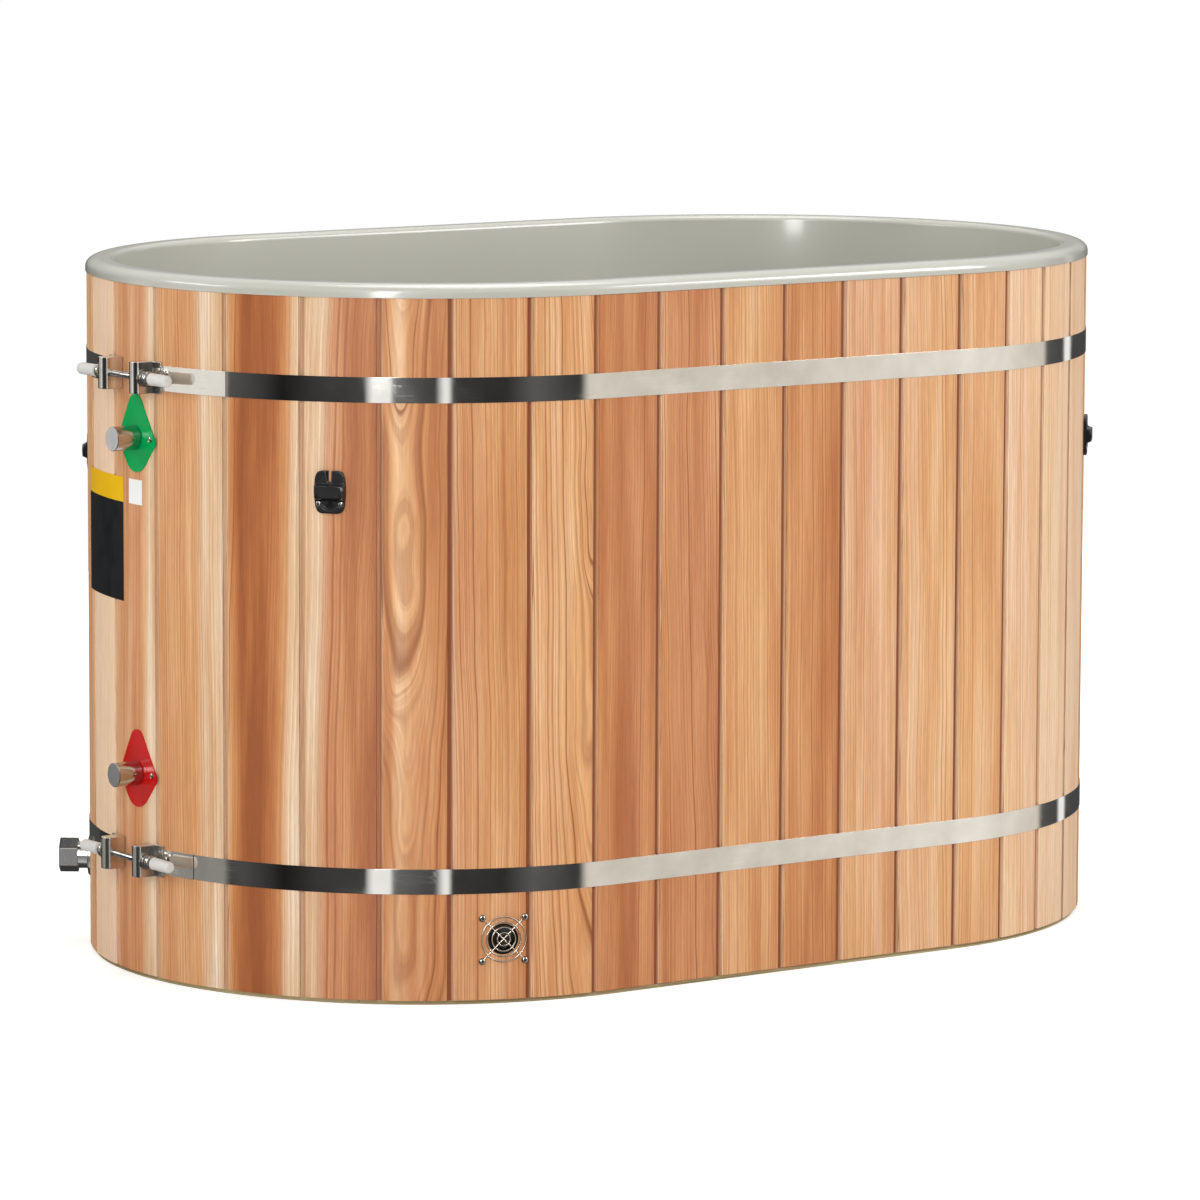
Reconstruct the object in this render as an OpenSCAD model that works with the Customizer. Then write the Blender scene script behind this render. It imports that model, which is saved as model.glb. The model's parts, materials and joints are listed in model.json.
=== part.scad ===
// Oval cold plunge tub: a moulded liner in a wall of cedar boards, held by two steel bands.
// Millimetres, +Z up. The origin is the centre of the footprint, on the floor.
// +X runs along the tub to the right, and -Y is the long side that faces the viewer.

/* [Tub] */
// Length over the boards
tub_len = 1296; // [1150:2:1700]
// Width over the boards
tub_w = 797; // [740:1:860]
// Height of the plinth under the boards
plinth_h = 5; // [4:0.5:8]
// How far the plinth stands back from the face of the boards
plinth_inset = 4; // [2:0.5:10]
// Width of the plinth strip
plinth_w = 60; // [50:1:90]

/* [Boards] */
// Height of the boards
board_h = 805; // [780:1:900]
// Thickness of the boards
board_t = 20; // [18:0.5:22]
// Width of the channel along each joint
channel_w = 8; // [5:0.5:12]
// Depth of the channel along each joint
channel_d = 2.5; // [1.5:0.1:4]
// Thickness of the tongue
tongue_t = 6; // [4:0.5:7]
// Length of the tongue
tongue_l = 6; // [4:0.5:8]
// Play all round between two boards
board_play = 0.2; // [0.1:0.05:0.3]
// Where the first joint lies, measured along the wall from the middle of the left end
first_joint = -54; // [-56:1:-50]
// Face widths of the boards in turn, going round by the front, shared out to fill the wall
board_faces = [
    94, 111, 100, 91, 81, 92, 83, 88, 89, 90, 85, 86, 87, 77, 75, 79, 88, 96, 84, 92,
    101, 86, 95, 90, 88, 92, 87, 90, 89, 85, 91, 94, 99, 92, 103, 96, 98, 70, 88
]; // one number for each board

/* [Liner] */
// Thickness of the liner
liner_t = 5; // [4:0.5:6]
// Height of the rim over the boards
rim_h = 16; // [14:0.5:20]
// Width of the rim
rim_w = 34.5; // [34:0.5:38]
// How far the rim hangs over the boards
rim_over = 1.5; // [1:0.5:4]
// Rounding of the outer edge of the rim
rim_round = 5; // [2:0.5:7]
// Rounding where the rim turns down into the bath
lip_round = 7; // [2:0.5:9]
// How much narrower the bath is at the bottom, on each side
draft = 16; // [10:1:20]
// Height of the bath's floor above the ground
bath_floor_z = 66; // [60:1:70]
// Fillet between the bath's floor and its wall
floor_fillet = 25; // [15:1:28]

/* [Inside the wall] */
// Thickness of the base panel
base_t = 18; // [15:1:20]
// Height of the lowest hoop
low_hoop_h = 26; // [20:1:28]
// Width of the lowest hoop
low_hoop_w = 36; // [25:1:45]
// Height of the other two hoops
hoop_h = 30; // [20:1:40]
// Height of the middle hoop's underside above the boards' lower ends
mid_hoop_up = 420; // [380:5:460]
// How far the top hoop stays below the boards' upper ends
top_hoop_down = 5; // [2:1:12]
// Height above the boards' lower ends at which the wall foam starts
foam_up = 130; // [128:1:150]
// Play between foam, hoops and their neighbours
fill_play = 0.4; // [0.2:0.1:0.6]

/* [Bands] */
// Width of the steel bands
band_w = 29; // [20:1:32]
// Thickness of the steel bands
band_t = 0.8; // [0.5:0.1:1.2]
// Height of the lower band's middle above the boards' lower ends
low_band_up = 138; // [138:1:160]
// Depth of the upper band's middle below the boards' upper ends
top_band_down = 104; // [80:1:110]
// Length of the doubling strap at the upper clamp, along the wall
top_strap = 120; // [70:1:140]
// Length of the doubling strap at the lower clamp, along the wall
low_strap = 72; // [50:1:110]

/* [Band clamps] */
// Where the clamps lie across the left end
clamp_y = 5; // [-10:1:10]
// Distance between the middles of the two lugs
lug_gap = 69; // [60:1:80]
// Height of a lug
lug_h = 37; // [32:1:40]
// Radius of the lug's round front
lug_r = 12; // [10:0.5:12.5]
// How far the seat for the washer lies from the lug's middle
lug_seat = 9.5; // [8.5:0.5:10]
// Distance from the face of the boards to the middle of the rod
rod_off = 13; // [12:0.5:14.5]
// Radius of the rod
rod_r = 4; // [3:0.5:5]
// Clearance of the rod in the lugs
rod_play = 0.5; // [0.3:0.1:1]
// Radius of the nuts
nut_r = 8.2; // [7:0.2:10]
// Length of the nuts
nut_l = 10; // [7:0.5:11]
// Radius of the washers
washer_r = 10; // [8:0.2:10.6]
// Thickness of the washers
washer_t = 2; // [1.5:0.5:3]
// Bare rod between a nut and its end cap
nut_travel = 5; // [3:0.5:6]
// Radius of the end caps
end_cap_r = 7.3; // [6.5:0.1:8]
// Length of the end caps
end_cap_l = 36; // [28:1:40]
// Wall at the closed end of the end caps
end_cap_wall = 4; // [2:0.5:6]
// Clearance between parts that turn or slide on one another
run_play = 0.05; // [0.02:0.01:0.09]

/* [Water ports] */
// Depth of the inlet below the boards' upper ends
inlet_down = 177; // [165:1:205]
// Height of the outlet above the boards' lower ends
outlet_up = 236; // [220:1:260]
// Outer radius of the port's pipe
port_r = 11; // [10:0.5:11.5]
// Bore of the port's pipe
port_bore_r = 8; // [6:0.5:9]
// How far the ports' caps stand out from the boards
port_cap_out = 33; // [30:1:40]
// Radius of the ports' caps
port_cap_r = 14.3; // [13.5:0.1:16]
// Thickness of the end of a cap
cap_end_t = 5; // [3:0.5:6]
// Thickness of the sealing disc in a cap
seal_t = 2; // [1:0.5:3]
// Chamfer at the ends of the caps
cap_chamfer = 0.6; // [0.2:0.1:1.2]

/* [Port plates] */
// Half width of the plates, to the tip of an ear
plate_ear = 40; // [36:1:44]
// Height of the plates above the port's middle
plate_up = 51; // [44:1:52]
// Depth of the plates below the port's middle
plate_down = 40; // [34:1:44]
// Thickness of the plates
plate_t = 1.5; // [1:0.1:2]
// Distance of the plate's screws from the middle
plate_screw = 31; // [28:0.5:33]

/* [Drain] */
// Height of the drain above the boards' lower ends
drain_up = 97; // [95:1:97]
// Angle of the drain behind the middle of the left end, in degrees
drain_angle = 37; // [34:1:40]
// Outer radius of the drain's pipe
drain_r = 16; // [15:0.5:17]
// Bore of the drain's pipe
drain_bore_r = 12.5; // [11:0.5:13]
// Radius of the drain's wall flange
drain_flange_r = 25; // [24:0.5:25]
// Thickness of the drain's wall flange
drain_flange_t = 3.5; // [2:0.5:5]
// How far the drain's cap stands out from the boards
drain_cap_out = 38; // [36:1:44]
// Length of the drain's cap
drain_cap_l = 22; // [20:1:24]
// Radius of the drain cap's corners
drain_cap_r = 21; // [20.5:0.5:24]

/* [Wall fittings inside] */
// Radius of the inner flanges of the ports
inner_flange_r = 20; // [18:0.5:21]
// Radius of the drain's inner flange
drain_inner_r = 22; // [21:0.5:22.5]
// Thickness of the inner flanges
inner_flange_t = 4; // [3:0.5:6]
// Thickness of the gaskets
gasket_t = 2; // [1:0.5:3]
// How far the liner's flat pads stand in from its wall
pad_in = 6; // [5:0.5:8]
// How far the liner's flat pads stand out behind its wall
pad_out = 1; // [1:0.5:1.5]
// Thickness of the locknuts behind the liner
locknut_t = 4; // [3:0.5:4.5]
// How much larger a locknut is than its pipe
locknut_over = 4; // [3:0.5:6]

/* [Cover latches] */
// Angle of the latches round each end, from the tub's long axis, in degrees
latch_angle = 41; // [38:1:44]
// Depth of the latches' middle below the boards' upper ends
latch_down = 221; // [205:1:245]
// Width of a latch
latch_w = 37; // [34:1:40]
// Height of a latch
latch_h = 49; // [46:1:54]
// Thickness of a latch's plate
latch_t = 4; // [3:0.5:5]
// How far a latch's housing stands out
latch_out = 10; // [9:0.5:13]
// Height of a latch's housing
latch_box_h = 19; // [16:1:22]
// Width of the slot in a latch
latch_slot = 3; // [2:0.5:4]

/* [Air vent] */
// Where the vent lies, measured along the wall from the middle of the left end
vent_along = 484; // [470:1:486]
// Height of the vent above the boards' lower ends
vent_up = 70; // [68:1:76]
// Radius of the vent's hole
vent_r = 16.5; // [12:0.5:18]
// Wall of the vent's sleeve
vent_wall = 1.5; // [1:0.5:2]
// Distance between the screws of the guard
vent_pitch = 50; // [48:1:54]
// Radius of the guard's outer ring
guard_r = 26; // [24:0.5:28]
// Radius of the guard's wire
wire_r = 0.8; // [0.6:0.1:1.2]

/* [Labels] */
// Width of the black label with a yellow head
label_w = 127; // [100:1:130]
// Height of the black label
label_h = 145; // [120:1:150]
// Where the middle of that label lies, along the wall from the middle of the left end
label_along = -95; // [-100:1:-95]
// Side of the small white label
tag_side = 29; // [24:1:30]
// Depth of both labels' upper edges below the boards' upper ends
label_down = 226; // [225:1:230]
// Thickness of the labels
label_t = 0.3; // [0.2:0.1:0.4]
// Thickness of the glue under the labels
glue_t = 0.1; // [0.05:0.05:0.2]

/* [Screws] */
// Radius of the screw heads
screw_head_r = 3.4; // [3:0.1:3.8]
// Height of the screw heads
screw_head_h = 2; // [1.5:0.1:2.6]
// Radius of the screw shanks
screw_r = 1.5; // [1.2:0.1:1.8]
// How deep the screws go into the boards
screw_in = 12; // [8:1:15]

/* [Hidden] */
$fn = 96;

cedar = "#C98F63";
steel = "#C9C9C6";
gelcoat = "#BDBDB4";
black = "#1B1C1D";

end_r = tub_w / 2;
half_straight = tub_len / 2 - end_r;
quarter = PI * end_r / 2;
side_l = 2 * half_straight;
wall_l = 4 * quarter + 2 * side_l;
board_z = plinth_h;
board_top = board_z + board_h;
rim_top = board_top + rim_h;
inlet_up = board_h - inlet_down;
latch_up = board_h - latch_down;
label_top = board_h - label_down;
cavity_r = end_r - board_t;
// Cutters run this far past the faces that they cut
over = 10;

// A place on the face of the boards, at a distance along the wall from the left end's middle:
// [x, y, x and y of the outward direction]
function turn(s) = s - wall_l * floor(s / wall_l);
function arc_place(side, a) = [
    side * half_straight + end_r * cos(a), end_r * sin(a), cos(a), sin(a)
];
function wall_place(s) = wall_place_in_turn(turn(s));
function wall_place_in_turn(s) =
    s < quarter ? arc_place(-1, 180 + s / end_r * 180 / PI) :
    s < quarter + side_l ? [s - quarter - half_straight, -end_r, 0, -1] :
    s < 3 * quarter + side_l ? arc_place(1, -90 + (s - quarter - side_l) / end_r * 180 / PI) :
    s < 3 * quarter + 2 * side_l ? [half_straight - (s - 3 * quarter - side_l), end_r, 0, 1] :
    arc_place(-1, 90 + (s - 3 * quarter - 2 * side_l) / end_r * 180 / PI);
// A point near the wall: out from its face, and forward along it
function near_wall(s, out, forward) = let (p = wall_place(s))
    [p[0] + out * p[2] - forward * p[3], p[1] + out * p[3] + forward * p[2]];

function sum_to(list, n) = n <= 0 ? 0 : list[n - 1] + sum_to(list, n - 1);
board_count = len(board_faces);
face_scale = wall_l / sum_to(board_faces, board_count);
function joint_at(i) = first_joint + face_scale * sum_to(board_faces, i);

// An outline round circles given in turn, counterclockwise, as [x, y, radius]
function tangent_angle(a, b) = let (d = [b[0] - a[0], b[1] - a[1]])
    atan2(d[1], d[0]) - acos((a[2] - b[2]) / norm(d));
function arc_points(c, a0, a1, steps) = let (sweep = (a1 - a0) - 360 * floor((a1 - a0) / 360))
    [for (k = [0:steps]) let (a = a0 + sweep * k / steps) [c[0] + c[2] * cos(a), c[1] + c[2] * sin(a)]];
function outline_round(circles, steps = 8) = let (n = len(circles)) [
    for (i = [0:n - 1]) each arc_points(
        circles[i],
        tangent_angle(circles[(i + n - 1) % n], circles[i]),
        tangent_angle(circles[i], circles[(i + 1) % n]),
        steps)
];
function corner_circles(w, h, r) = [
    [-w / 2 + r, -h / 2 + r, r], [w / 2 - r, -h / 2 + r, r],
    [w / 2 - r, h / 2 - r, r], [-w / 2 + r, h / 2 - r, r]
];

module stadium(r) {
    for (side = [-1, 1]) translate([side * half_straight, 0]) circle(r);
    square([side_l, 2 * r], center = true);
}

module stadium_ring(outer, inner, h) {
    linear_extrude(h) difference() {
        stadium(outer);
        stadium(inner);
    }
}

// Carries a section, drawn as [distance from the tub's long axis, height], round the tub
module sweep_round(section) {
    for (half = [0, 180]) rotate(half) {
        translate([half_straight, 0, 0]) rotate(-90) rotate_extrude(angle = 180) polygon(section);
        translate([-half_straight, 0, 0]) rotate([90, 0, 90]) linear_extrude(side_l) polygon(section);
    }
}

// Children are drawn with +X out of the wall, from the middle of the left end's arc
module at_left_end(angle, up) {
    translate([-half_straight, 0, board_z + up]) rotate(180 - angle) children();
}

// Children are drawn with +X out of the wall from its face, and +Y forward along the wall
module at_wall(along, up) {
    p = wall_place(along);
    translate([p[0], p[1], board_z + up]) rotate(atan2(p[3], p[2])) children();
}

// A round piece along +X, from one distance to another
module rod_x(r, from, to) {
    translate([from, 0, 0]) rotate([0, 90, 0]) cylinder(r = r, h = to - from);
}

module turned_x(profile) {
    rotate([0, 90, 0]) rotate_extrude() polygon(profile);
}

// The joint's outline on the board's side: the channel, then the face with tongue or groove
tongue_mid = board_t / 2 + channel_d / 2;
function groove_side(s) = let (
        half = tongue_t / 2 + board_play,
        deep = tongue_l + 2 * board_play)
    [for (p = [
        [over, channel_w / 2], [-channel_d, channel_w / 2], [-channel_d, board_play],
        [-tongue_mid + half, board_play], [-tongue_mid + half, deep],
        [-tongue_mid - half, deep], [-tongue_mid - half, board_play], [-board_t - over, board_play]
    ]) near_wall(s, p[0], p[1])];
function tongue_side(s) = let (half = tongue_t / 2)
    [for (p = [
        [-board_t - over, -board_play], [-tongue_mid - half, -board_play],
        [-tongue_mid - half, tongue_l], [-tongue_mid + half, tongue_l],
        [-tongue_mid + half, -board_play], [-channel_d, -board_play],
        [-channel_d, -channel_w / 2], [over, -channel_w / 2]
    ]) near_wall(s, p[0], p[1])];

module board(i) {
    translate([0, 0, board_z]) linear_extrude(board_h) intersection() {
        difference() {
            stadium(end_r);
            stadium(cavity_r);
        }
        polygon(concat(groove_side(joint_at(i)), tongue_side(joint_at(i + 1))));
    }
}

// The boards whose middles lie between two places along the wall
module boards_between(from, to) {
    for (i = [0:board_count - 1]) {
        middle = turn((joint_at(i) + joint_at(i + 1)) / 2);
        if (middle >= from && middle < to) board(i);
    }
}

// Holes in the boards of the left end's front half
module left_front_cuts() {
    port_cuts();
    at_wall(vent_along, vent_up) {
        rod_x(vent_r + vent_wall, -board_t - over, over);
        vent_corners() rod_x(screw_r, -screw_in, over);
    }
    latch_cuts(180 + latch_angle, -1);
}

module left_back_cuts() {
    port_cuts();
    at_left_end(drain_angle, drain_up) rod_x(drain_r, cavity_r - over, end_r + over);
    latch_cuts(180 - latch_angle, -1);
}

module port_cuts() {
    for (up = [inlet_up, outlet_up]) at_left_end(0, up) {
        rod_x(port_r, cavity_r - over, end_r + over);
        plate_screw_places() rod_x(screw_r, end_r - screw_in, end_r + over);
    }
}

module latch_cuts(angle, side) {
    at_latch(angle, side) latch_screw_places() rod_x(screw_r, -screw_in, over);
}

module plinth_strips() {
    // The strip is cut into four lengths with a fine open joint between them
    strip_joint = 0.8;
    joint_along = 317;
    color("#A89A6C") difference() {
        stadium_ring(end_r - plinth_inset, end_r - plinth_inset - plinth_w, plinth_h);
        for (s = [joint_along, wall_l / 2 - joint_along, wall_l / 2 + joint_along, -joint_along])
            at_wall(s, -board_z - over) translate([-end_r, -strip_joint / 2, 0])
                cube([end_r + over, strip_joint, plinth_h + 2 * over]);
    }
}

runner_w = 60;
module base_runners() {
    runner_l = side_l + end_r;
    color("#A89A6C") for (k = [-1, 0, 1])
        translate([-runner_l / 2, k * end_r / 2 - runner_w / 2, 0]) cube([runner_l, runner_w, plinth_h]);
}

module base_panel() {
    color("#B99A6A") translate([0, 0, board_z]) linear_extrude(base_t) stadium(cavity_r - fill_play);
}

module low_hoop() {
    color("#B99A6A") translate([0, 0, board_z + base_t])
        stadium_ring(cavity_r - fill_play, cavity_r - fill_play - low_hoop_w, low_hoop_h);
}

module floor_foam() {
    foam_h = bath_floor_z - liner_t - board_z - base_t;
    color("#E4D9A8") translate([0, 0, board_z + base_t]) linear_extrude(foam_h)
        stadium(min(cavity_r - 2 * fill_play - low_hoop_w, bath_r(bath_floor_z) - floor_fillet));
}

// Radius of the bath's wall at a height, and of the liner's outer side there
wall_top_r = end_r + rim_over - rim_w;
function bath_r(z) = wall_top_r - draft * (rim_top - z) / (rim_top - bath_floor_z);
function liner_r(z) = bath_r(z) + liner_t;

module filler_ring(z0, z1) {
    sweep_round([
        [liner_r(z0) + fill_play, z0], [cavity_r - fill_play, z0],
        [cavity_r - fill_play, z1], [liner_r(z1) + fill_play, z1]
    ]);
}

mid_hoop_z = board_z + mid_hoop_up;
top_hoop_z = board_top - top_hoop_down - hoop_h;

module mid_hoop() {
    color("#B99A6A") filler_ring(mid_hoop_z, mid_hoop_z + hoop_h);
}

module top_hoop() {
    color("#B99A6A") filler_ring(top_hoop_z, top_hoop_z + hoop_h);
}

module lower_wall_foam() {
    color("#E4D9A8") difference() {
        filler_ring(board_z + foam_up, mid_hoop_z - fill_play);
        at_left_end(0, outlet_up) rod_x(port_pad_r() + fill_play, bath_r(0), end_r);
    }
}

module upper_wall_foam() {
    color("#E4D9A8") difference() {
        filler_ring(mid_hoop_z + hoop_h + fill_play, top_hoop_z - fill_play);
        at_left_end(0, inlet_up) rod_x(port_pad_r() + fill_play, bath_r(0), end_r);
    }
}

// The liner's section: bath floor, fillet, wall and rim inside, then back along the outer side
module liner_shell() {
    r_low = bath_r(bath_floor_z + floor_fillet);
    under = bath_floor_z - liner_t;
    out_fillet = floor_fillet + liner_t;
    rim_out = end_r + rim_over;
    hollow_top = rim_top - liner_t;
    sweep_round(concat(
        [[0, under], [0, bath_floor_z]],
        [for (a = [0:10:90]) [
            r_low - floor_fillet + floor_fillet * sin(a),
            bath_floor_z + floor_fillet - floor_fillet * cos(a)]],
        [for (a = [0:15:90]) [
            wall_top_r + lip_round - lip_round * cos(a),
            rim_top - lip_round + lip_round * sin(a)]],
        [for (a = [0:15:90]) [
            rim_out - rim_round + rim_round * sin(a),
            rim_top - rim_round + rim_round * cos(a)]],
        [[rim_out, board_top], [rim_out - liner_t, board_top], [rim_out - liner_t, hollow_top],
         [liner_r(hollow_top), hollow_top]],
        [for (a = [90:-10:0]) [
            r_low - floor_fillet + out_fillet * sin(a),
            under + out_fillet - out_fillet * cos(a)]]
    ));
}

// The fittings seat on flat pads: how far each pad's inner and outer face lies from the arc's middle
function pad_face(up) = bath_r(board_z + up) - pad_in;
function pad_back(up) = liner_r(board_z + up) + pad_out;
function port_pad_r() = inner_flange_r + 1;
function drain_pad_r() = drain_inner_r + 1;

// The liner is held in two halves, left and right, that meet at this hairline seam
liner_seam = 0.1;

module liner() {
    color(gelcoat) difference() {
        union() {
            liner_shell();
            for (up = [inlet_up, outlet_up]) at_left_end(0, up)
                rod_x(port_pad_r(), pad_face(up), pad_back(up));
            at_left_end(drain_angle, drain_up)
                rod_x(drain_pad_r(), pad_face(drain_up), pad_back(drain_up));
        }
        for (up = [inlet_up, outlet_up]) at_left_end(0, up)
            rod_x(port_r, pad_face(up) - over, pad_back(up) + over);
        at_left_end(drain_angle, drain_up)
            rod_x(drain_r, pad_face(drain_up) - over, pad_back(drain_up) + over);
        translate([-liner_seam / 2, -end_r - rim_over - over, 0])
            cube([liner_seam, 2 * (end_r + rim_over + over), rim_top + over]);
    }
}

module rim_core() {
    color("#B99A6A") translate([0, 0, board_top]) stadium_ring(
        end_r + rim_over - liner_t - fill_play,
        liner_r(rim_top) + fill_play,
        rim_h - liner_t - fill_play);
}

module left_front_boards() {
    color(cedar) difference() {
        boards_between(0, quarter);
        left_front_cuts();
    }
}

module front_boards() {
    color(cedar) boards_between(quarter, quarter + side_l);
}

module right_front_boards() {
    color(cedar) difference() {
        boards_between(quarter + side_l, 2 * quarter + side_l);
        latch_cuts(-latch_angle, 1);
    }
}

module right_back_boards() {
    color(cedar) difference() {
        boards_between(2 * quarter + side_l, 3 * quarter + side_l);
        latch_cuts(latch_angle, 1);
    }
}

module back_boards() {
    color(cedar) boards_between(3 * quarter + side_l, 3 * quarter + 2 * side_l);
}

module left_back_boards() {
    color(cedar) difference() {
        boards_between(3 * quarter + 2 * side_l, wall_l);
        left_back_cuts();
    }
}

top_band_up = board_h - top_band_down;
rod_x_at = half_straight + end_r + rod_off;
gap_half = lug_gap / 2 - lug_seat;

module band(up) {
    color(steel) difference() {
        translate([0, 0, board_z + up - band_w / 2]) stadium_ring(end_r + band_t, end_r, band_w);
        translate([-tub_len / 2 - over, clamp_y - gap_half, board_z + up - band_w])
            cube([2 * over, 2 * gap_half, 2 * band_w]);
    }
}

module upper_band() {
    band(top_band_up);
}

module lower_band() {
    band(low_band_up);
}

// A lug: a round front with two flat seats that the rod passes through, a foot on the band,
// and a strap that doubles the band. dir is -1 for the front lug and 1 for the back one.
module lug(up, dir, strap) {
    lug_y = clamp_y + dir * lug_gap / 2;
    color(steel) translate([0, 0, board_z + up]) difference() {
        union() {
            intersection() {
                translate([-tub_len, lug_y - lug_seat, -lug_h]) cube([tub_len, 2 * lug_seat, 2 * lug_h]);
                lug_body(lug_y);
            }
            strap_piece(lug_y, dir, lug_foot_l, lug_foot_t, lug_h);
            strap_piece(lug_y, dir, strap, band_t, band_w);
        }
        translate([-rod_x_at, lug_y, 0]) rotate([90, 0, 0])
            cylinder(r = rod_r + rod_play, h = 4 * lug_r, center = true);
    }
}

module lug_body(lug_y) {
    translate([0, 0, -lug_h / 2]) linear_extrude(lug_h) difference() {
        union() {
            translate([-rod_x_at, lug_y]) circle(lug_r);
            translate([-rod_x_at, lug_y - lug_r]) square([rod_off + over, 2 * lug_r]);
        }
        stadium(end_r + band_t);
    }
}

// A strip on the band's face, from the lug's middle away from the other lug
module strap_piece(lug_y, dir, l, t, h) {
    intersection() {
        translate([0, 0, -h / 2]) stadium_ring(end_r + band_t + t, end_r + band_t, h);
        translate([-tub_len, min(lug_y, lug_y + dir * l), -h]) cube([tub_len, l, 2 * h]);
    }
}

lug_foot_l = lug_seat + 14;
lug_foot_t = 2;

module upper_front_lug() {
    lug(top_band_up, -1, top_strap);
}

module upper_back_lug() {
    lug(top_band_up, 1, top_strap);
}

module lower_front_lug() {
    lug(low_band_up, -1, low_strap);
}

module lower_back_lug() {
    lug(low_band_up, 1, low_strap);
}

// Children are drawn along +X from the middle of a lug, away from the other lug
module along_rod(up, dir) {
    translate([-rod_x_at, clamp_y + dir * lug_gap / 2, board_z + up]) rotate(90 * dir) children();
}

nut_at = lug_seat + washer_t;
end_cap_at = nut_at + nut_l + nut_travel;
rod_end = end_cap_at + end_cap_l - end_cap_wall;

module rod(up) {
    color(steel) along_rod(up, 1) rod_x(rod_r, -lug_gap - rod_end, rod_end);
}

module washer(up, dir) {
    color(steel) along_rod(up, dir) difference() {
        rod_x(washer_r, lug_seat, nut_at);
        rod_x(rod_r + run_play, 0, rod_end);
    }
}

module nut(up, dir) {
    dome = nut_l / 4;
    color(steel) along_rod(up, dir) translate([nut_at, 0, 0]) turned_x([
        [rod_r + run_play, 0], [nut_r, 0], [nut_r, nut_l - dome],
        [nut_r - dome / 3, nut_l - dome / 3], [nut_r - dome, nut_l], [rod_r + run_play, nut_l]
    ]);
}

module upper_rod() {
    rod(top_band_up);
}

module lower_rod() {
    rod(low_band_up);
}

module upper_front_washer() {
    washer(top_band_up, -1);
}

module upper_back_washer() {
    washer(top_band_up, 1);
}

module lower_front_washer() {
    washer(low_band_up, -1);
}

module lower_back_washer() {
    washer(low_band_up, 1);
}

module upper_front_nut() {
    nut(top_band_up, -1);
}

module upper_back_nut() {
    nut(top_band_up, 1);
}

module lower_front_nut() {
    nut(low_band_up, -1);
}

module lower_back_nut() {
    nut(low_band_up, 1);
}

module rod_end_caps() {
    bore = rod_r + run_play;
    bevel = end_cap_r / 3;
    color("#ECEBE6") for (up = [top_band_up, low_band_up], dir = [-1, 1])
        along_rod(up, dir) translate([end_cap_at, 0, 0]) turned_x([
            [bore, 0], [end_cap_r, 0], [end_cap_r, end_cap_l - bevel],
            [end_cap_r - bevel / 3, end_cap_l - bevel / 3], [end_cap_r - bevel, end_cap_l],
            [0, end_cap_l], [0, end_cap_l - end_cap_wall], [bore, end_cap_l - end_cap_wall]
        ]);
}

port_end = end_r + port_cap_out - cap_end_t - seal_t - run_play;
drain_end = end_r + drain_cap_out - cap_end_t - seal_t - run_play;

// A pipe through liner and boards, with a flange inside the bath
module wall_pipe(up, r, bore_r, flange_r, end) {
    flange_at = pad_face(up) - gasket_t - inner_flange_t;
    difference() {
        union() {
            rod_x(flange_r, flange_at, flange_at + inner_flange_t);
            rod_x(r, flange_at, end);
        }
        rod_x(bore_r, flange_at - over, end + over);
    }
}

module wall_gasket(up, r, flange_r) {
    difference() {
        rod_x(flange_r, pad_face(up) - gasket_t, pad_face(up));
        rod_x(r, 0, end_r);
    }
}

module locknut(up, r) {
    difference() {
        translate([pad_back(up), 0, 0]) rotate([0, 90, 0])
            cylinder(r = r + locknut_over, h = locknut_t, $fn = 6);
        rod_x(r, 0, end_r);
    }
}

module inlet_pipe() {
    color(steel) at_left_end(0, inlet_up)
        wall_pipe(inlet_up, port_r, port_bore_r, inner_flange_r, port_end);
}

module outlet_pipe() {
    color(steel) at_left_end(0, outlet_up)
        wall_pipe(outlet_up, port_r, port_bore_r, inner_flange_r, port_end);
}

module drain_pipe() {
    color(steel) at_left_end(drain_angle, drain_up)
        wall_pipe(drain_up, drain_r, drain_bore_r, drain_inner_r, drain_end);
}

module port_gaskets() {
    color(black) {
        for (up = [inlet_up, outlet_up]) at_left_end(0, up) wall_gasket(up, port_r, inner_flange_r);
        at_left_end(drain_angle, drain_up) wall_gasket(drain_up, drain_r, drain_inner_r);
    }
}

module port_locknuts() {
    color(steel) {
        for (up = [inlet_up, outlet_up]) at_left_end(0, up) locknut(up, port_r);
        at_left_end(drain_angle, drain_up) locknut(drain_up, drain_r);
    }
}

// A plate with a pointed top and two ears, bent to the wall
plate_foot_r = 26;
plate_ear_r = 9;
plate_top_r = 15;
plate_ear_drop = 3;
plate_outline = outline_round([
    [0, -plate_down + plate_foot_r, plate_foot_r],
    [plate_ear - plate_ear_r, -plate_ear_drop, plate_ear_r],
    [0, plate_up - plate_top_r, plate_top_r],
    [-plate_ear + plate_ear_r, -plate_ear_drop, plate_ear_r]
]);

module port_plate(up) {
    at_left_end(0, up) difference() {
        intersection() {
            translate([0, 0, -plate_down - over]) difference() {
                cylinder(r = end_r + plate_t, h = plate_up + plate_down + 2 * over);
                translate([0, 0, -over]) cylinder(r = end_r, h = plate_up + plate_down + 4 * over);
            }
            translate([end_r - over, 0, 0]) rotate([90, 0, 90]) linear_extrude(2 * over)
                polygon(plate_outline);
        }
        rod_x(port_r, 0, end_r + over);
        plate_screw_places() rod_x(screw_r, end_r - over, end_r + over);
    }
}

module plate_screw_places() {
    for (side = [-1, 1]) rotate(side * plate_screw / end_r * 180 / PI) children();
}

module inlet_plate() {
    color("#12A04E") port_plate(inlet_up);
}

module outlet_plate() {
    color("#C81410") port_plate(outlet_up);
}

// A round-headed screw along -X, with its head's underside at zero
module screw(l) {
    turned_x([
        [0, -l], [screw_r, -l], [screw_r, 0], [screw_head_r, 0], [screw_head_r, screw_head_h / 3],
        [screw_head_r * 0.8, screw_head_h * 0.8], [screw_head_r * 0.4, screw_head_h], [0, screw_head_h]
    ]);
}

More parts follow.
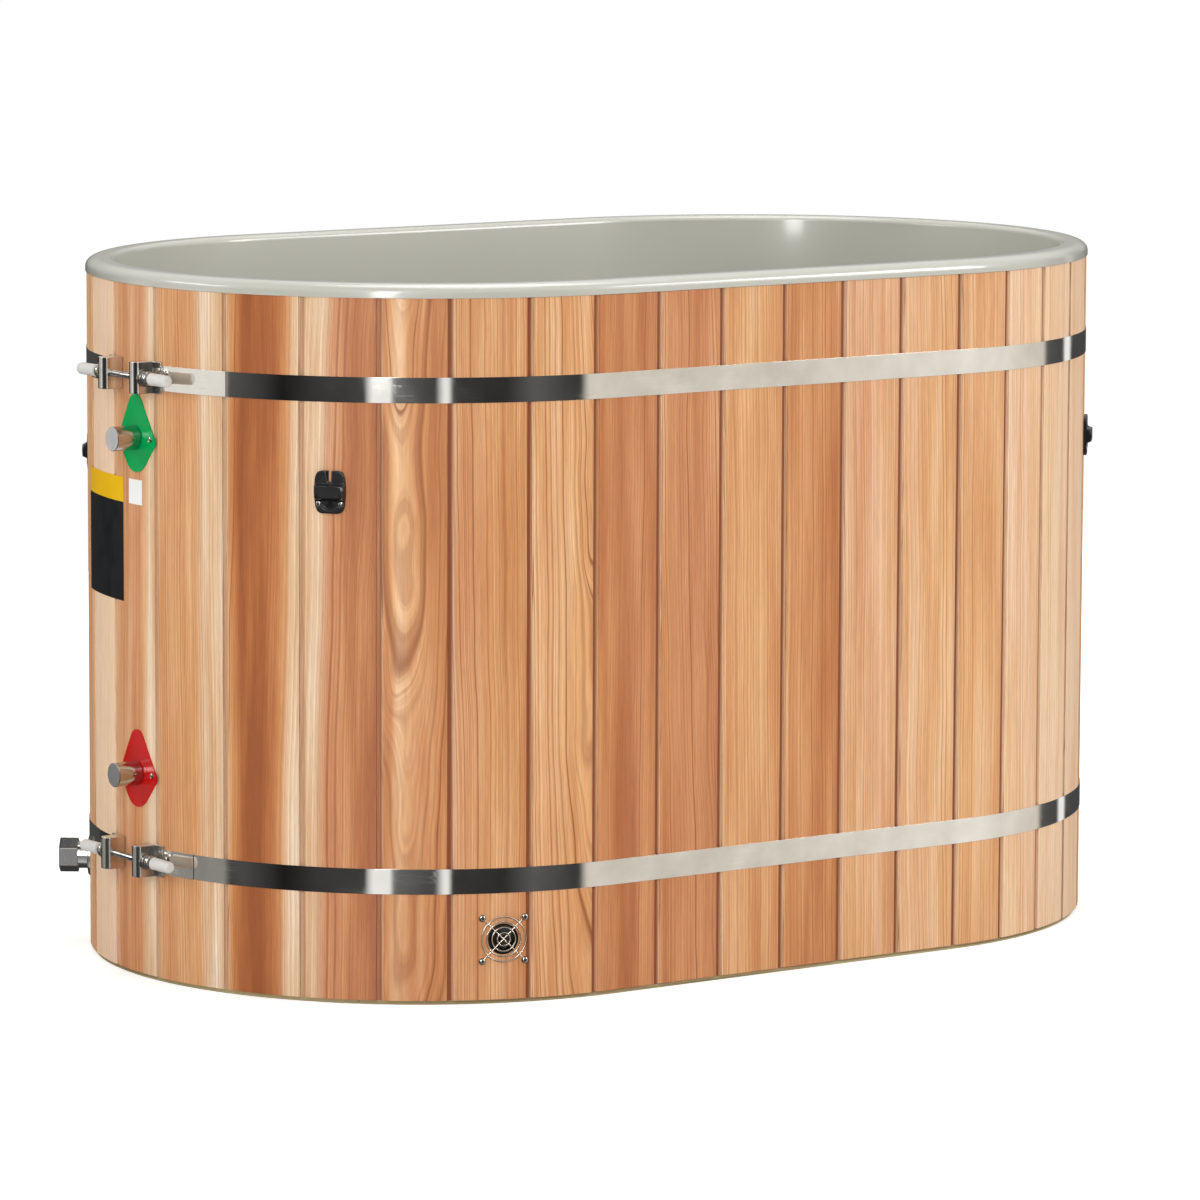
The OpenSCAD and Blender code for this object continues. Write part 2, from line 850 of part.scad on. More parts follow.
module plate_screws() {
    color(steel) for (up = [inlet_up, outlet_up]) at_left_end(0, up)
        plate_screw_places() translate([end_r + plate_t, 0, 0]) screw(screw_in + plate_t);
}

module drain_flange() {
    color(steel) at_left_end(drain_angle, drain_up) translate([end_r, 0, 0]) turned_x([
        [drain_r, 0], [drain_flange_r, 0], [drain_flange_r, drain_flange_t / 2],
        [drain_flange_r - drain_flange_t / 2, drain_flange_t], [drain_r, drain_flange_t]
    ]);
}

// A disc with holes over the drain's mouth in the bath
module drain_screen() {
    screen_t = 1.5;
    hole_r = drain_bore_r / 6;
    screen_at = pad_face(drain_up) - gasket_t - inner_flange_t;
    color(steel) at_left_end(drain_angle, drain_up) difference() {
        rod_x(drain_bore_r + 4, screen_at - screen_t, screen_at);
        rod_x(hole_r, screen_at - over, screen_at + over);
        for (a = [0:60:300]) rotate([a, 0, 0]) translate([0, drain_bore_r * 0.6, 0])
            rod_x(hole_r, screen_at - over, screen_at + over);
    }
}

module seal(r, cap_out) {
    color(black) rod_x(r - 0.4, end_r + cap_out - cap_end_t - seal_t, end_r + cap_out - cap_end_t);
}

// A turned cap over a pipe's end, open towards the wall
module round_cap(r, pipe_r, from, to) {
    bore = pipe_r + run_play;
    translate([from, 0, 0]) turned_x([
        [bore, 0], [r - cap_chamfer, 0], [r, cap_chamfer], [r, to - from - cap_chamfer],
        [r - cap_chamfer, to - from], [0, to - from], [0, to - from - cap_end_t],
        [bore, to - from - cap_end_t]
    ]);
}

port_cap_at = end_r + plate_t + 0.5;

module inlet_seal() {
    at_left_end(0, inlet_up) seal(port_r, port_cap_out);
}

module inlet_cap() {
    color(steel) at_left_end(0, inlet_up)
        round_cap(port_cap_r, port_r, port_cap_at, end_r + port_cap_out);
}

module outlet_seal() {
    at_left_end(0, outlet_up) seal(port_r, port_cap_out);
}

module outlet_cap() {
    color(steel) at_left_end(0, outlet_up)
        round_cap(port_cap_r, port_r, port_cap_at, end_r + port_cap_out);
}

module drain_seal() {
    at_left_end(drain_angle, drain_up) seal(drain_r, drain_cap_out);
}

// The drain's cap is a hexagon with a corner up and its corners turned off
module drain_cap() {
    cap_x = end_r + drain_cap_out;
    color(steel) at_left_end(drain_angle, drain_up) intersection() {
        difference() {
            translate([cap_x - drain_cap_l, 0, 0]) rotate([0, 90, 0])
                cylinder(r = drain_cap_r, h = drain_cap_l, $fn = 6);
            rod_x(drain_r + run_play, 0, cap_x - cap_end_t);
        }
        round_cap(drain_cap_r - cap_chamfer / 2, 0, cap_x - drain_cap_l, cap_x);
    }
}

// Children are drawn with +X out of the wall from its face
module at_latch(angle, side) {
    translate([side * half_straight, 0, board_z + latch_up]) rotate(angle)
        translate([end_r, 0, 0]) children();
}

latch_screw_z = -latch_h / 2 + 11;
module latch_screw_places() {
    for (side = [-1, 1]) translate([0, side * (latch_w / 2 - 5.5), latch_screw_z]) children();
}

// A latch that takes the buckle of a cover's strap: a plate with a slot in its upper end,
// and a housing with a pocket that is open at the top
latch_box_top = latch_h / 2 - 15;
latch_pocket_w = 22;
module latch(angle, side) {
    corner = 6;
    edge = 2.5;
    slot_l = 13;
    box_low = latch_box_top - latch_box_h;
    pocket_wall = 2;
    color(black) at_latch(angle, side) difference() {
        union() {
            rotate([90, 0, 90]) linear_extrude(latch_t)
                polygon(outline_round(corner_circles(latch_w, latch_h, corner)));
            translate([0, latch_w / 2 + 0.8, 0]) rotate([90, 0, 0]) linear_extrude(latch_w + 1.6)
                polygon([
                    [0, box_low], [latch_t, box_low - 2], [latch_out - edge, box_low],
                    [latch_out, box_low + edge], [latch_out, latch_box_top - edge],
                    [latch_out - edge, latch_box_top], [0, latch_box_top]
                ]);
        }
        translate([-over, -latch_slot / 2, latch_h / 2 - slot_l])
            cube([latch_out + 2 * over, latch_slot, slot_l + over]);
        translate([pocket_wall, -latch_pocket_w / 2, box_low + 4])
            cube([latch_out - 2 * pocket_wall, latch_pocket_w, latch_h]);
        latch_screw_places() rod_x(screw_r, -over, latch_out + over);
        latch_screw_places() rod_x(screw_head_r + 0.4, latch_t - 1, latch_out + over);
    }
}

module front_left_latch() {
    latch(180 + latch_angle, -1);
}

module front_right_latch() {
    latch(-latch_angle, 1);
}

module back_left_latch() {
    latch(180 - latch_angle, -1);
}

module back_right_latch() {
    latch(latch_angle, 1);
}

module latch_screws() {
    color(steel) for (place = [[180 + latch_angle, -1], [-latch_angle, 1], [180 - latch_angle, -1],
                               [latch_angle, 1]])
        at_latch(place[0], place[1]) latch_screw_places()
            translate([latch_t - 1, 0, 0]) screw(screw_in + latch_t - 1);
}

module vent_corners() {
    for (y = [-1, 1], z = [-1, 1]) translate([0, y * vent_pitch / 2, z * vent_pitch / 2]) children();
}

module vent_sleeve() {
    color(black) at_wall(vent_along, vent_up) difference() {
        rod_x(vent_r + vent_wall, -board_t - 2, -1);
        rod_x(vent_r, -board_t - over, over);
    }
}

eye_r = 4;
eye_top = 2 * wire_r;

module vent_guard() {
    color(steel) at_wall(vent_along, vent_up) difference() {
        union() {
            for (k = [0.29, 0.53, 0.77, 1]) rotate([0, 90, 0]) translate([0, 0, eye_top + wire_r / 2])
                rotate_extrude() translate([guard_r * k, 0]) circle(wire_r, $fn = 24);
            for (a = [45, 135]) rotate([a, 0, 0]) translate([wire_r, 0, 0]) rotate([90, 0, 0])
                cylinder(r = wire_r, h = vent_pitch * sqrt(2), center = true, $fn = 24);
            vent_corners() rod_x(eye_r, -eye_r, eye_top);
        }
        vent_corners() rod_x(screw_r, -over, over);
        // The backs of the eyes follow the wall
        translate([-end_r, 0, -vent_pitch]) cylinder(r = end_r, h = 2 * vent_pitch);
    }
}

module vent_screws() {
    color(steel) at_wall(vent_along, vent_up) vent_corners()
        translate([eye_top, 0, 0]) screw(screw_in + eye_top);
}

// A sticker on the left end, between two places along the wall
module sticker(from, to, low, high) {
    translate([-half_straight, 0, board_z + low]) rotate(180 + from / end_r * 180 / PI)
        rotate_extrude(angle = (to - from) / end_r * 180 / PI)
            translate([end_r + glue_t, 0]) square([label_t, high - low]);
}

module black_label() {
    color(black)
        sticker(label_along - label_w / 2, label_along + label_w / 2, label_top - label_h, label_top);
}

tag_along = label_along + label_w / 2 + tag_side;
module white_label() {
    color("white")
        sticker(tag_along - tag_side / 2, tag_along + tag_side / 2, label_top - tag_side, label_top);
}

plinth_strips();
base_runners();
base_panel();
floor_foam();
low_hoop();
mid_hoop();
top_hoop();
lower_wall_foam();
upper_wall_foam();
liner();
rim_core();
left_front_boards();
front_boards();
right_front_boards();
right_back_boards();
back_boards();
left_back_boards();
upper_band();
lower_band();
upper_front_lug();
upper_back_lug();
lower_front_lug();
lower_back_lug();
upper_rod();
lower_rod();
upper_front_washer();
upper_back_washer();
lower_front_washer();
lower_back_washer();
upper_front_nut();
upper_back_nut();
lower_front_nut();
lower_back_nut();
rod_end_caps();
inlet_pipe();
outlet_pipe();
drain_pipe();
port_gaskets();
port_locknuts();
inlet_plate();
outlet_plate();
plate_screws();
drain_flange();
drain_screen();
inlet_seal();
inlet_cap();
outlet_seal();
outlet_cap();
drain_seal();
drain_cap();
front_left_latch();
front_right_latch();
back_left_latch();
back_right_latch();
latch_screws();
vent_sleeve();
vent_guard();
vent_screws();
black_label();
white_label();
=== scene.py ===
import json
import math

import bmesh
import bpy
import numpy as np
from mathutils import Matrix, Vector


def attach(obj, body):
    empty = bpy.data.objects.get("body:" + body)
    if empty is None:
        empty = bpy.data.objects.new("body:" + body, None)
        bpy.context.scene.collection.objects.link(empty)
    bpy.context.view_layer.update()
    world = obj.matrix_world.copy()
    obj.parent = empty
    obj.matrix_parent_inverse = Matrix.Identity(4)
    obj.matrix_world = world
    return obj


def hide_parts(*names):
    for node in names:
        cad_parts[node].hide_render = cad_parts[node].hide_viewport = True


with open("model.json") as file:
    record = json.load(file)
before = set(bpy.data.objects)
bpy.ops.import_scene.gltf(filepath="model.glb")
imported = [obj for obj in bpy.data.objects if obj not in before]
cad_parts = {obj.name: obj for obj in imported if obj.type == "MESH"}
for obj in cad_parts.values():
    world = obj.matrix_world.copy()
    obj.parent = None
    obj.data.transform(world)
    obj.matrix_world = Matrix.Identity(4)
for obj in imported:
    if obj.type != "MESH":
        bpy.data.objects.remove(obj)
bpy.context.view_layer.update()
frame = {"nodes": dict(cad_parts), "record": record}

# Oval cold plunge tub: cedar boards round a moulded liner, two steel bands with clamps.
# Lengths are in millimetres up to the functions that place points, which give metres.
MM = 0.001

# The wall: round ends, straight sides, and the boards that fill it
END_R = 398.5
HALF = 249.5
QUARTER = math.pi * END_R / 2
SIDE = 2 * HALF
WALL = 4 * QUARTER + 2 * SIDE
LAPS = np.array([QUARTER, QUARTER + SIDE, 3 * QUARTER + SIDE, 3 * QUARTER + 2 * SIDE])
BOARD_LOW, BOARD_H, BOARD_T = 5.0, 805.0, 20.0
FIRST_JOINT = -54.0
BOARD_FACES = np.array([
    94, 111, 100, 91, 81, 92, 83, 88, 89, 90, 85, 86, 87, 77, 75, 79, 88, 96, 84, 92,
    101, 86, 95, 90, 88, 92, 87, 90, 89, 85, 91, 94, 99, 92, 103, 96, 98, 70, 88], float)
CHANNEL_W, CHANNEL_D = 8.0, 2.5
TONGUE_T, TONGUE_L, BOARD_PLAY = 6.0, 6.0, 0.2

# The liner: the bath's floor, its radius at the foot and at the top, and the rim's edge
RIM_TOP = BOARD_LOW + BOARD_H + 16.0
BATH_FLOOR = 66.0
BATH_LOW_R, BATH_TOP_R, RIM_R = 349.82, 365.5, 400.0
LINER_T, FILLET_R, LIP_R, WALL_SLOPE = 5.0, 25.0, 7.0, 16.0

# Fittings: heights over the boards' foot, and places along the wall or angles from its left end
PORT_UP, PLATE_SCREW_S = (628, 236), 31
DRAIN_UP, DRAIN_ANGLE = 97, 37
VENT_UP, VENT_S, VENT_R, VENT_SCREWS = 70, 484, 18, (-25, 25)
LABEL_TOP, LABEL_HEAD = 579, 29
LATCH_UP, LATCH_SCREW_UP, LATCH_SCREWS = 584, -13.5, (-13, 13)
LATCH_S = END_R * math.radians(41)
LATCHES = {"front_left": LATCH_S, "front_right": WALL / 2 - LATCH_S,
           "back_left": -LATCH_S, "back_right": WALL / 2 + LATCH_S}

# The bands and their clamps at the left end
BAND_W, BAND_T = 29.0, 0.8
BAND_Z = {"upper": BOARD_LOW + BOARD_H - 104.0, "lower": BOARD_LOW + 138.0}
STRAP_L = {"upper": 120.0, "lower": 72.0}
CLAMP_Y, LUG_GAP = 5.0, 69.0
LUG_H, LUG_R, LUG_SEAT = 37.0, 12.0, 9.5
WASHER_T, NUT_L, CAP_GAP, CAP_L, CAP_END = 2.0, 10.0, 5.0, 36.0, 4.0
ROD_PAST = LUG_SEAT + WASHER_T + NUT_L + CAP_GAP + CAP_L - CAP_END
ROD_R, PITCH = 3.98, 1.25
ROD_X = -(HALF + END_R + 13.0)

# The camera that the photograph was fitted with
CAMERA_AT = (-4.6272, -6.5636, 1.4704)
CAMERA_YAW, CAMERA_DOWN, CAMERA_ROLL = -0.61496, 0.13304, 0.00393
CAMERA_LENS = 199.95


def paint(colour):
    """A hex sRGB colour as the linear values that a shader takes."""
    rgb = np.array([int(colour[i:i + 2], 16) for i in (1, 3, 5)]) / 255
    linear = np.where(rgb <= 0.04045, rgb / 12.92, ((rgb + 0.055) / 1.055) ** 2.4)
    return (*linear.tolist(), 1.0)


# What each of these kinds of node is mostly set to here, and which output is mostly used
USUAL = {"Mix": {"out": 2, "data_type": "RGBA"}, "TexCoord": {"out": "Object"},
         "Attribute": {"out": "Vector"}, "LightPath": {"out": "Is Camera Ray"}}


def node(tree, kind, ins=(), stops=(), **settings):
    """Adds one shader node with its settings, its inputs (values, or the outputs that feed them)
    and, on a ramp, its stops. Gives back one of its outputs."""
    made = tree.nodes.new("ShaderNode" + kind)
    settings = {"out": 0, **USUAL.get(kind, {}), **settings}
    out = settings.pop("out")
    for key, value in settings.items():
        setattr(made, key, value)
    for key, value in dict(ins).items():
        if isinstance(value, bpy.types.NodeSocket):
            tree.links.new(value, made.inputs[key])
        else:
            made.inputs[key].default_value = value
    for i, (place, colour) in enumerate(stops):
        if i > 1:
            made.color_ramp.elements.new(place)
        made.color_ramp.elements[i].position = place
        made.color_ramp.elements[i].color = paint(colour)
    return made.outputs[out] if len(made.outputs) else made


def finish(name, colour, **constants):
    """Starts a finish on the Principled shader. Its constants go on the shader's own sockets."""
    mat = bpy.data.materials.new(name)
    mat.use_nodes = True
    shader = mat.node_tree.nodes["Principled BSDF"]
    shader.inputs["Base Color"].default_value = paint(colour)
    for key, value in constants.items():
        shader.inputs[key.replace("_", " ")].default_value = value
    return mat, mat.node_tree


def driven(mat, **outputs):
    """The finish, with an output linked to each named socket of its shader."""
    shader = mat.node_tree.nodes["Principled BSDF"]
    for key, value in outputs.items():
        mat.node_tree.links.new(value, shader.inputs[key.replace("_", " ")])
    return mat


def add_object(name, data):
    """Puts a mesh, a lamp or a camera in the scene."""
    obj = bpy.data.objects.new(name, data)
    bpy.context.scene.collection.objects.link(obj)
    return obj


# Shapes

def wall_point(s, out, z):
    """Points near the wall in metres: s runs along its face from the middle of the left end and
    round by the front, out is the distance from that face. Each round end is an arc whose angle
    is s over its radius, and along each side only x changes."""
    s, out, z = np.broadcast_arrays(np.mod(s, WALL), out, z)
    part = np.searchsorted(LAPS, s, side="right")
    level = np.zeros_like(s)
    angle = np.choose(part, [
        math.pi + s / END_R, level - math.pi / 2, (s - LAPS[1]) / END_R - math.pi / 2,
        level + math.pi / 2, (s - LAPS[3]) / END_R + math.pi / 2])
    middle = np.choose(part, [
        level - HALF, s - QUARTER - HALF, level + HALF, HALF + LAPS[2] - s, level - HALF])
    r = END_R + out
    return np.stack([middle + r * np.cos(angle), r * np.sin(angle), z], -1) * MM


def grid_faces(rows, cols, close_rows=False, close_cols=False):
    """Quads over a grid of points, rows by columns, each seam closed where it is asked for."""
    i, j = np.meshgrid(np.arange(rows - (not close_rows)), np.arange(cols - (not close_cols)),
                       indexing="ij")
    up, on = (i + 1) % rows, (j + 1) % cols
    return np.stack([i * cols + j, i * cols + on, up * cols + on, up * cols + j], -1).reshape(-1, 4)


def tube_faces(rings, n):
    """Faces over rings of n points each, with a cap on the first ring and on the last."""
    faces = grid_faces(rings, n, close_cols=True).tolist()
    return faces + [list(range(n))[::-1], list(range((rings - 1) * n, rings * n))]


def piece(name, points, faces, mat, slot, stands_for=(), body="tub", sharp=35, weld=False,
          bevel=0.0, marks=None):
    """Makes one piece of the tub from points in metres and faces. marks are vectors for each
    point, kept on the face corners under their names."""
    mesh = bpy.data.meshes.new(name)
    mesh.from_pydata(np.asarray(points).reshape(-1, 3).tolist(), [], [list(map(int, f)) for f in faces])
    corner = np.zeros(len(mesh.loops), np.int32)
    mesh.loops.foreach_get("vertex_index", corner)
    for key, values in (marks or {}).items():
        made = mesh.attributes.new(key, "FLOAT_VECTOR", "CORNER")
        made.data.foreach_set("vector", np.asarray(values, np.float32).reshape(-1, 3)[corner].ravel())
    if weld:
        weld_points(mesh)
    mesh.polygons.foreach_set("use_smooth", np.ones(len(mesh.polygons), bool))
    mesh.set_sharp_from_angle(angle=math.radians(sharp))
    obj = add_object(name, mesh)
    mesh.materials.append(mat)
    if bevel:
        round_edges(obj, bevel)
    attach(obj, body)
    if stands_for:
        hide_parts(*stands_for)
    return obj


def round_edges(obj, width):
    """A live bevel on the sharp edges, in millimetres."""
    made = obj.modifiers.new("eased_edges", "BEVEL")
    made.width = width * MM
    made.segments = 2
    made.limit_method = "ANGLE"
    made.angle_limit = math.radians(40)
    made.harden_normals = True


def weld_points(mesh):
    """Merges points that meet at a pole or a seam and drops what that leaves without area."""
    work = bmesh.new()
    work.from_mesh(mesh)
    bmesh.ops.remove_doubles(work, verts=work.verts, dist=1e-6)
    bmesh.ops.recalc_face_normals(work, faces=work.faces)
    work.to_mesh(mesh)
    work.free()


def prism(outline, low, high):
    """Points and faces of an outline, counterclockwise in plan, carried from one height to another."""
    n = len(outline)
    points = np.concatenate([np.column_stack([outline, np.full(n, z * MM)]) for z in (low, high)])
    return points, tube_faces(2, n)


def counterclockwise(outline):
    """The outline in counterclockwise order, by the sign of its area."""
    x, y = np.asarray(outline).T
    return outline if np.sum(x * np.roll(y, -1) - np.roll(x, -1) * y) > 0 else outline[::-1]


def turned(profile, steps=48):
    """A profile of (distance along the axis, radius) turned about +X. Where the first and last
    radius are zero it closes at two poles, and otherwise along the bore."""
    along, radius = np.array(profile, float).T
    angle = np.linspace(0, 2 * math.pi, steps, endpoint=False)
    points = np.stack(np.broadcast_arrays(
        along[:, None], radius[:, None] * np.cos(angle), radius[:, None] * np.sin(angle)), -1)
    bored = radius[0] > 0
    return points.reshape(-1, 3), grid_faces(len(profile), steps, bored, True)


def set_at(points, place, out):
    """Moves points that are drawn along +X to a place, with +X turned to the direction out, in plan."""
    out = np.array([out[0], out[1], 0.0]) / math.hypot(out[0], out[1])
    side = np.array([-out[1], out[0], 0.0])
    turn = np.stack([out, side, [0, 0, 1]])
    return (points @ turn + np.array(place)) * MM


def wall_place(s, out, z):
    """One place near the wall, in millimetres, and the direction out from the wall there."""
    at, further = wall_point(s, [out, out + 1.0], z) / MM
    return at, (further - at)[:2]


def beside(place, y, z):
    """A place moved y across and z up, on a flat face that looks the same way."""
    at, out = place
    return at + [-y * out[1], y * out[0], z], out


def together(*parts):
    """Several sets of points and faces as one."""
    points, faces, start = [], [], 0
    for p, f in parts:
        points.append(np.asarray(p).reshape(-1, 3))
        faces += [[int(i) + start for i in face] for face in f]
        start += len(points[-1])
    return np.concatenate(points), faces


# Finishes

def cedar_finish():
    """Clear-oiled western softwood boards, planed and sanded: satin, straight-grained, with growth
    rings 3 to 10 mm apart that show as fine lines or, on boards cut near the heart, as arches."""
    mat, tree = finish("oiled_cedar", "#D6A379", Roughness=0.48, IOR=1.5)
    # "log" is the place in the log: across and deep from its heart, and along, in metres.
    # "look" is how dark the board is, with painted light at its channels, how pink, and how much painted
    # shade darkens its channels there.
    # "rings" is rings a metre, how strong they are, and the radius where the pale sapwood starts.
    log = node(tree, "Attribute", attribute_name="log")
    look = node(tree, "Attribute", attribute_name="look")
    dark, pink, channel_shade = node(tree, "SeparateXYZ", {0: look}).node.outputs
    rings = node(tree, "Attribute", attribute_name="rings")
    pace, strong, sap_at = node(tree, "SeparateXYZ", {0: rings}).node.outputs

    # The rings wander slowly along the board, mostly nearer to the face and away from it
    slow = node(tree, "VectorMath", {0: log, 1: (10.0, 10.0, 3.4)}, operation="MULTIPLY")
    wander = node(tree, "TexNoise", {"Vector": slow, "Scale": 1.0, "Detail": 2.0}, out="Color")
    wander = node(tree, "VectorMath", {0: wander, 1: (0.5, 0.5, 0.5)}, operation="SUBTRACT")
    wander = node(tree, "VectorMath", {0: wander, 1: (0.01, 0.034, 0.0)}, operation="MULTIPLY")
    flat = node(tree, "VectorMath", {0: log, 1: (1.0, 1.0, 0.0)}, operation="MULTIPLY")
    place = node(tree, "VectorMath", {0: flat, 1: wander}, operation="ADD")
    radius = node(tree, "VectorMath", {0: place}, out="Value", operation="LENGTH")

    # Ring widths vary from the heart outwards
    years = node(tree, "Math", {0: radius, 1: 44.0}, operation="MULTIPLY")
    years = node(tree, "TexNoise", {"W": years, "Scale": 1.0, "Detail": 1.5}, noise_dimensions="1D")
    ring = node(tree, "Math", {0: years, 1: 0.03, 2: radius}, operation="MULTIPLY_ADD")
    ring = node(tree, "Math", {0: ring, 1: pace}, operation="MULTIPLY")
    phase = node(tree, "Math", {0: ring}, operation="FRACT")
    # Pale spring wood, then a dark summer line that ends at once
    summer = node(tree, "ValToRGB", {0: phase}, stops=[
        (0.0, "#181818"), (0.06, "#000000"), (0.6, "#0A0A0A"), (0.8, "#646464"), (0.88, "#FFFFFF"),
        (0.95, "#D8D8D8"), (1.0, "#181818")])
    # Some rings are strong and some are faint
    uneven = node(tree, "Math", {0: radius, 1: 160.0}, operation="MULTIPLY")
    uneven = node(tree, "TexNoise", {"W": uneven, "Scale": 1.0, "Detail": 0.0}, noise_dimensions="1D")
    uneven = node(tree, "MapRange", {0: uneven, 1: 0.35, 2: 0.65, 3: 0.35, 4: 1.0})
    summer = node(tree, "Math", {0: summer, 1: uneven}, operation="MULTIPLY")
    summer = node(tree, "Math", {0: summer, 1: strong}, operation="MULTIPLY")
    # The heart itself never shows as a spot
    clear = node(tree, "MapRange", {0: radius, 1: 0.007, 2: 0.012})
    summer = node(tree, "Math", {0: summer, 1: clear}, operation="MULTIPLY")

    # Long streaks of colour, 8 to 30 mm wide
    streak = node(tree, "VectorMath", {0: log, 1: (52.0, 52.0, 1.1)}, operation="MULTIPLY")
    streak = node(tree, "TexNoise", {"Vector": streak, "Scale": 1.0, "Detail": 2.5, "Roughness": 0.55})
    tone = node(tree, "MapRange", {0: streak, 1: 0.3, 2: 0.7, 3: -0.18, 4: 0.18})
    tone = node(tree, "Math", {0: tone, 1: dark}, operation="ADD", use_clamp=True)
    heart = node(tree, "ValToRGB", {0: tone}, stops=[
        (0.0, "#F6D6AE"), (0.3, "#E8B47C"), (0.6, "#D08E56"), (0.82, "#B86E38"), (1.0, "#985022")])
    rosy = node(tree, "VectorMath", {0: log, 1: (21.0, 21.0, 0.8)}, operation="MULTIPLY")
    rosy = node(tree, "TexNoise", {"Vector": rosy, "Scale": 1.0, "Detail": 1.0})
    rosy = node(tree, "MapRange", {0: rosy, 1: 0.35, 2: 0.6, 3: 0.25, 4: 1.0})
    rosy = node(tree, "Math", {0: rosy, 1: pink}, operation="MULTIPLY")
    salmon = node(tree, "ValToRGB", {0: tone}, stops=[
        (0.0, "#F6D3B6"), (0.5, "#D6966A"), (1.0, "#A65E38")])
    heart = node(tree, "Mix", {0: rosy, 6: heart, 7: salmon})

    # Sapwood past its radius, with an edge that wanders
    edge = node(tree, "Math", {0: radius, 1: sap_at}, operation="SUBTRACT")
    edge = node(tree, "Math", {0: streak, 1: 0.022, 2: edge}, operation="MULTIPLY_ADD")
    sap = node(tree, "MapRange", {0: edge, 1: 0.005, 2: 0.017})
    pale = node(tree, "ValToRGB", {0: streak}, stops=[
        (0.3, "#F6E2C8"), (0.5, "#EDCFAA"), (0.7, "#DBB084")])
    wood = node(tree, "Mix", {0: sap, 6: heart, 7: pale})

    # Summer lines are redder and darker than the wood around them
    line = node(tree, "Math", {0: sap, 1: -0.55, 2: 1.0}, operation="MULTIPLY_ADD")
    line = node(tree, "Math", {0: summer, 1: line}, operation="MULTIPLY")
    wood = node(tree, "Mix", {0: line, 6: wood, 7: paint("#924C16")})
    # Finer lines between them, 1 to 3 mm apart, that run the whole length
    fine = node(tree, "Math", {0: radius, 1: 430.0}, operation="MULTIPLY")
    fine = node(tree, "TexNoise", {"W": fine, "Scale": 1.0, "Detail": 2.0, "Roughness": 0.7},
                noise_dimensions="1D")
    fine = node(tree, "MapRange", {0: fine, 1: 0.36, 2: 0.66, 3: 0.0, 4: 0.42})
    fine = node(tree, "Math", {0: fine, 1: clear}, operation="MULTIPLY")
    fine = node(tree, "Math", {0: fine, 1: strong}, operation="MULTIPLY")
    wood = node(tree, "Mix", {0: fine, 6: wood, 7: paint("#A3602F")})

    # Fibres under a millimetre wide, drawn 1.5 mm wide so that they show, and 60 mm long
    fibre = node(tree, "VectorMath", {0: log, 1: (700.0, 700.0, 14.0)}, operation="MULTIPLY")
    fibre = node(tree, "TexNoise", {"Vector": fibre, "Scale": 1.0, "Detail": 3.0, "Roughness": 0.6})
    shade = node(tree, "MapRange", {0: fibre, 1: 0.3, 2: 0.7, 3: 0.93, 4: 1.12})
    wood = node(tree, "VectorMath", {0: wood, "Scale": shade}, operation="SCALE")
    # Painted shade: the channels are drawn dark brown, as the shade that falls in them
    wood = node(tree, "Mix", {0: channel_shade, 6: wood, 7: paint("#8E4A1C")})

    # Summer lines are harder than the wood between them: they stand up a little and shine more
    rough = node(tree, "MapRange", {0: summer, 3: 0.5, 4: 0.4})
    relief = node(tree, "Math", {0: summer, 1: 0.5, 2: fibre}, operation="MULTIPLY_ADD")
    bump = node(tree, "Bump", {"Strength": 0.12, "Distance": 0.0004, "Height": relief})
    return driven(mat, Base_Color=wood, Roughness=rough, Normal=bump)


def gelcoat_finish():
    """Gelcoat laid up in a polished mould: even warm grey, satin gloss with a faint orange peel."""
    mat, tree = finish("warm_grey_gelcoat", "#BAB9AE", Roughness=0.3, IOR=1.5,
                       Coat_Weight=0.8, Coat_Roughness=0.12)
    place = node(tree, "TexCoord")
    cloud = node(tree, "TexNoise", {"Vector": place, "Scale": 3.0, "Detail": 2.0})
    tint = node(tree, "Mix", {0: cloud, 6: paint("#B7B6AB"), 7: paint("#BDBCB1")})
    rough = node(tree, "MapRange", {0: cloud, 3: 0.29, 4: 0.4})
    peel = node(tree, "TexNoise", {"Vector": place, "Scale": 160.0, "Detail": 1.0})
    bump = node(tree, "Bump", {"Strength": 0.06, "Distance": 0.0005, "Height": peel})
    return driven(mat, Base_Color=tint, Roughness=rough, Normal=bump)


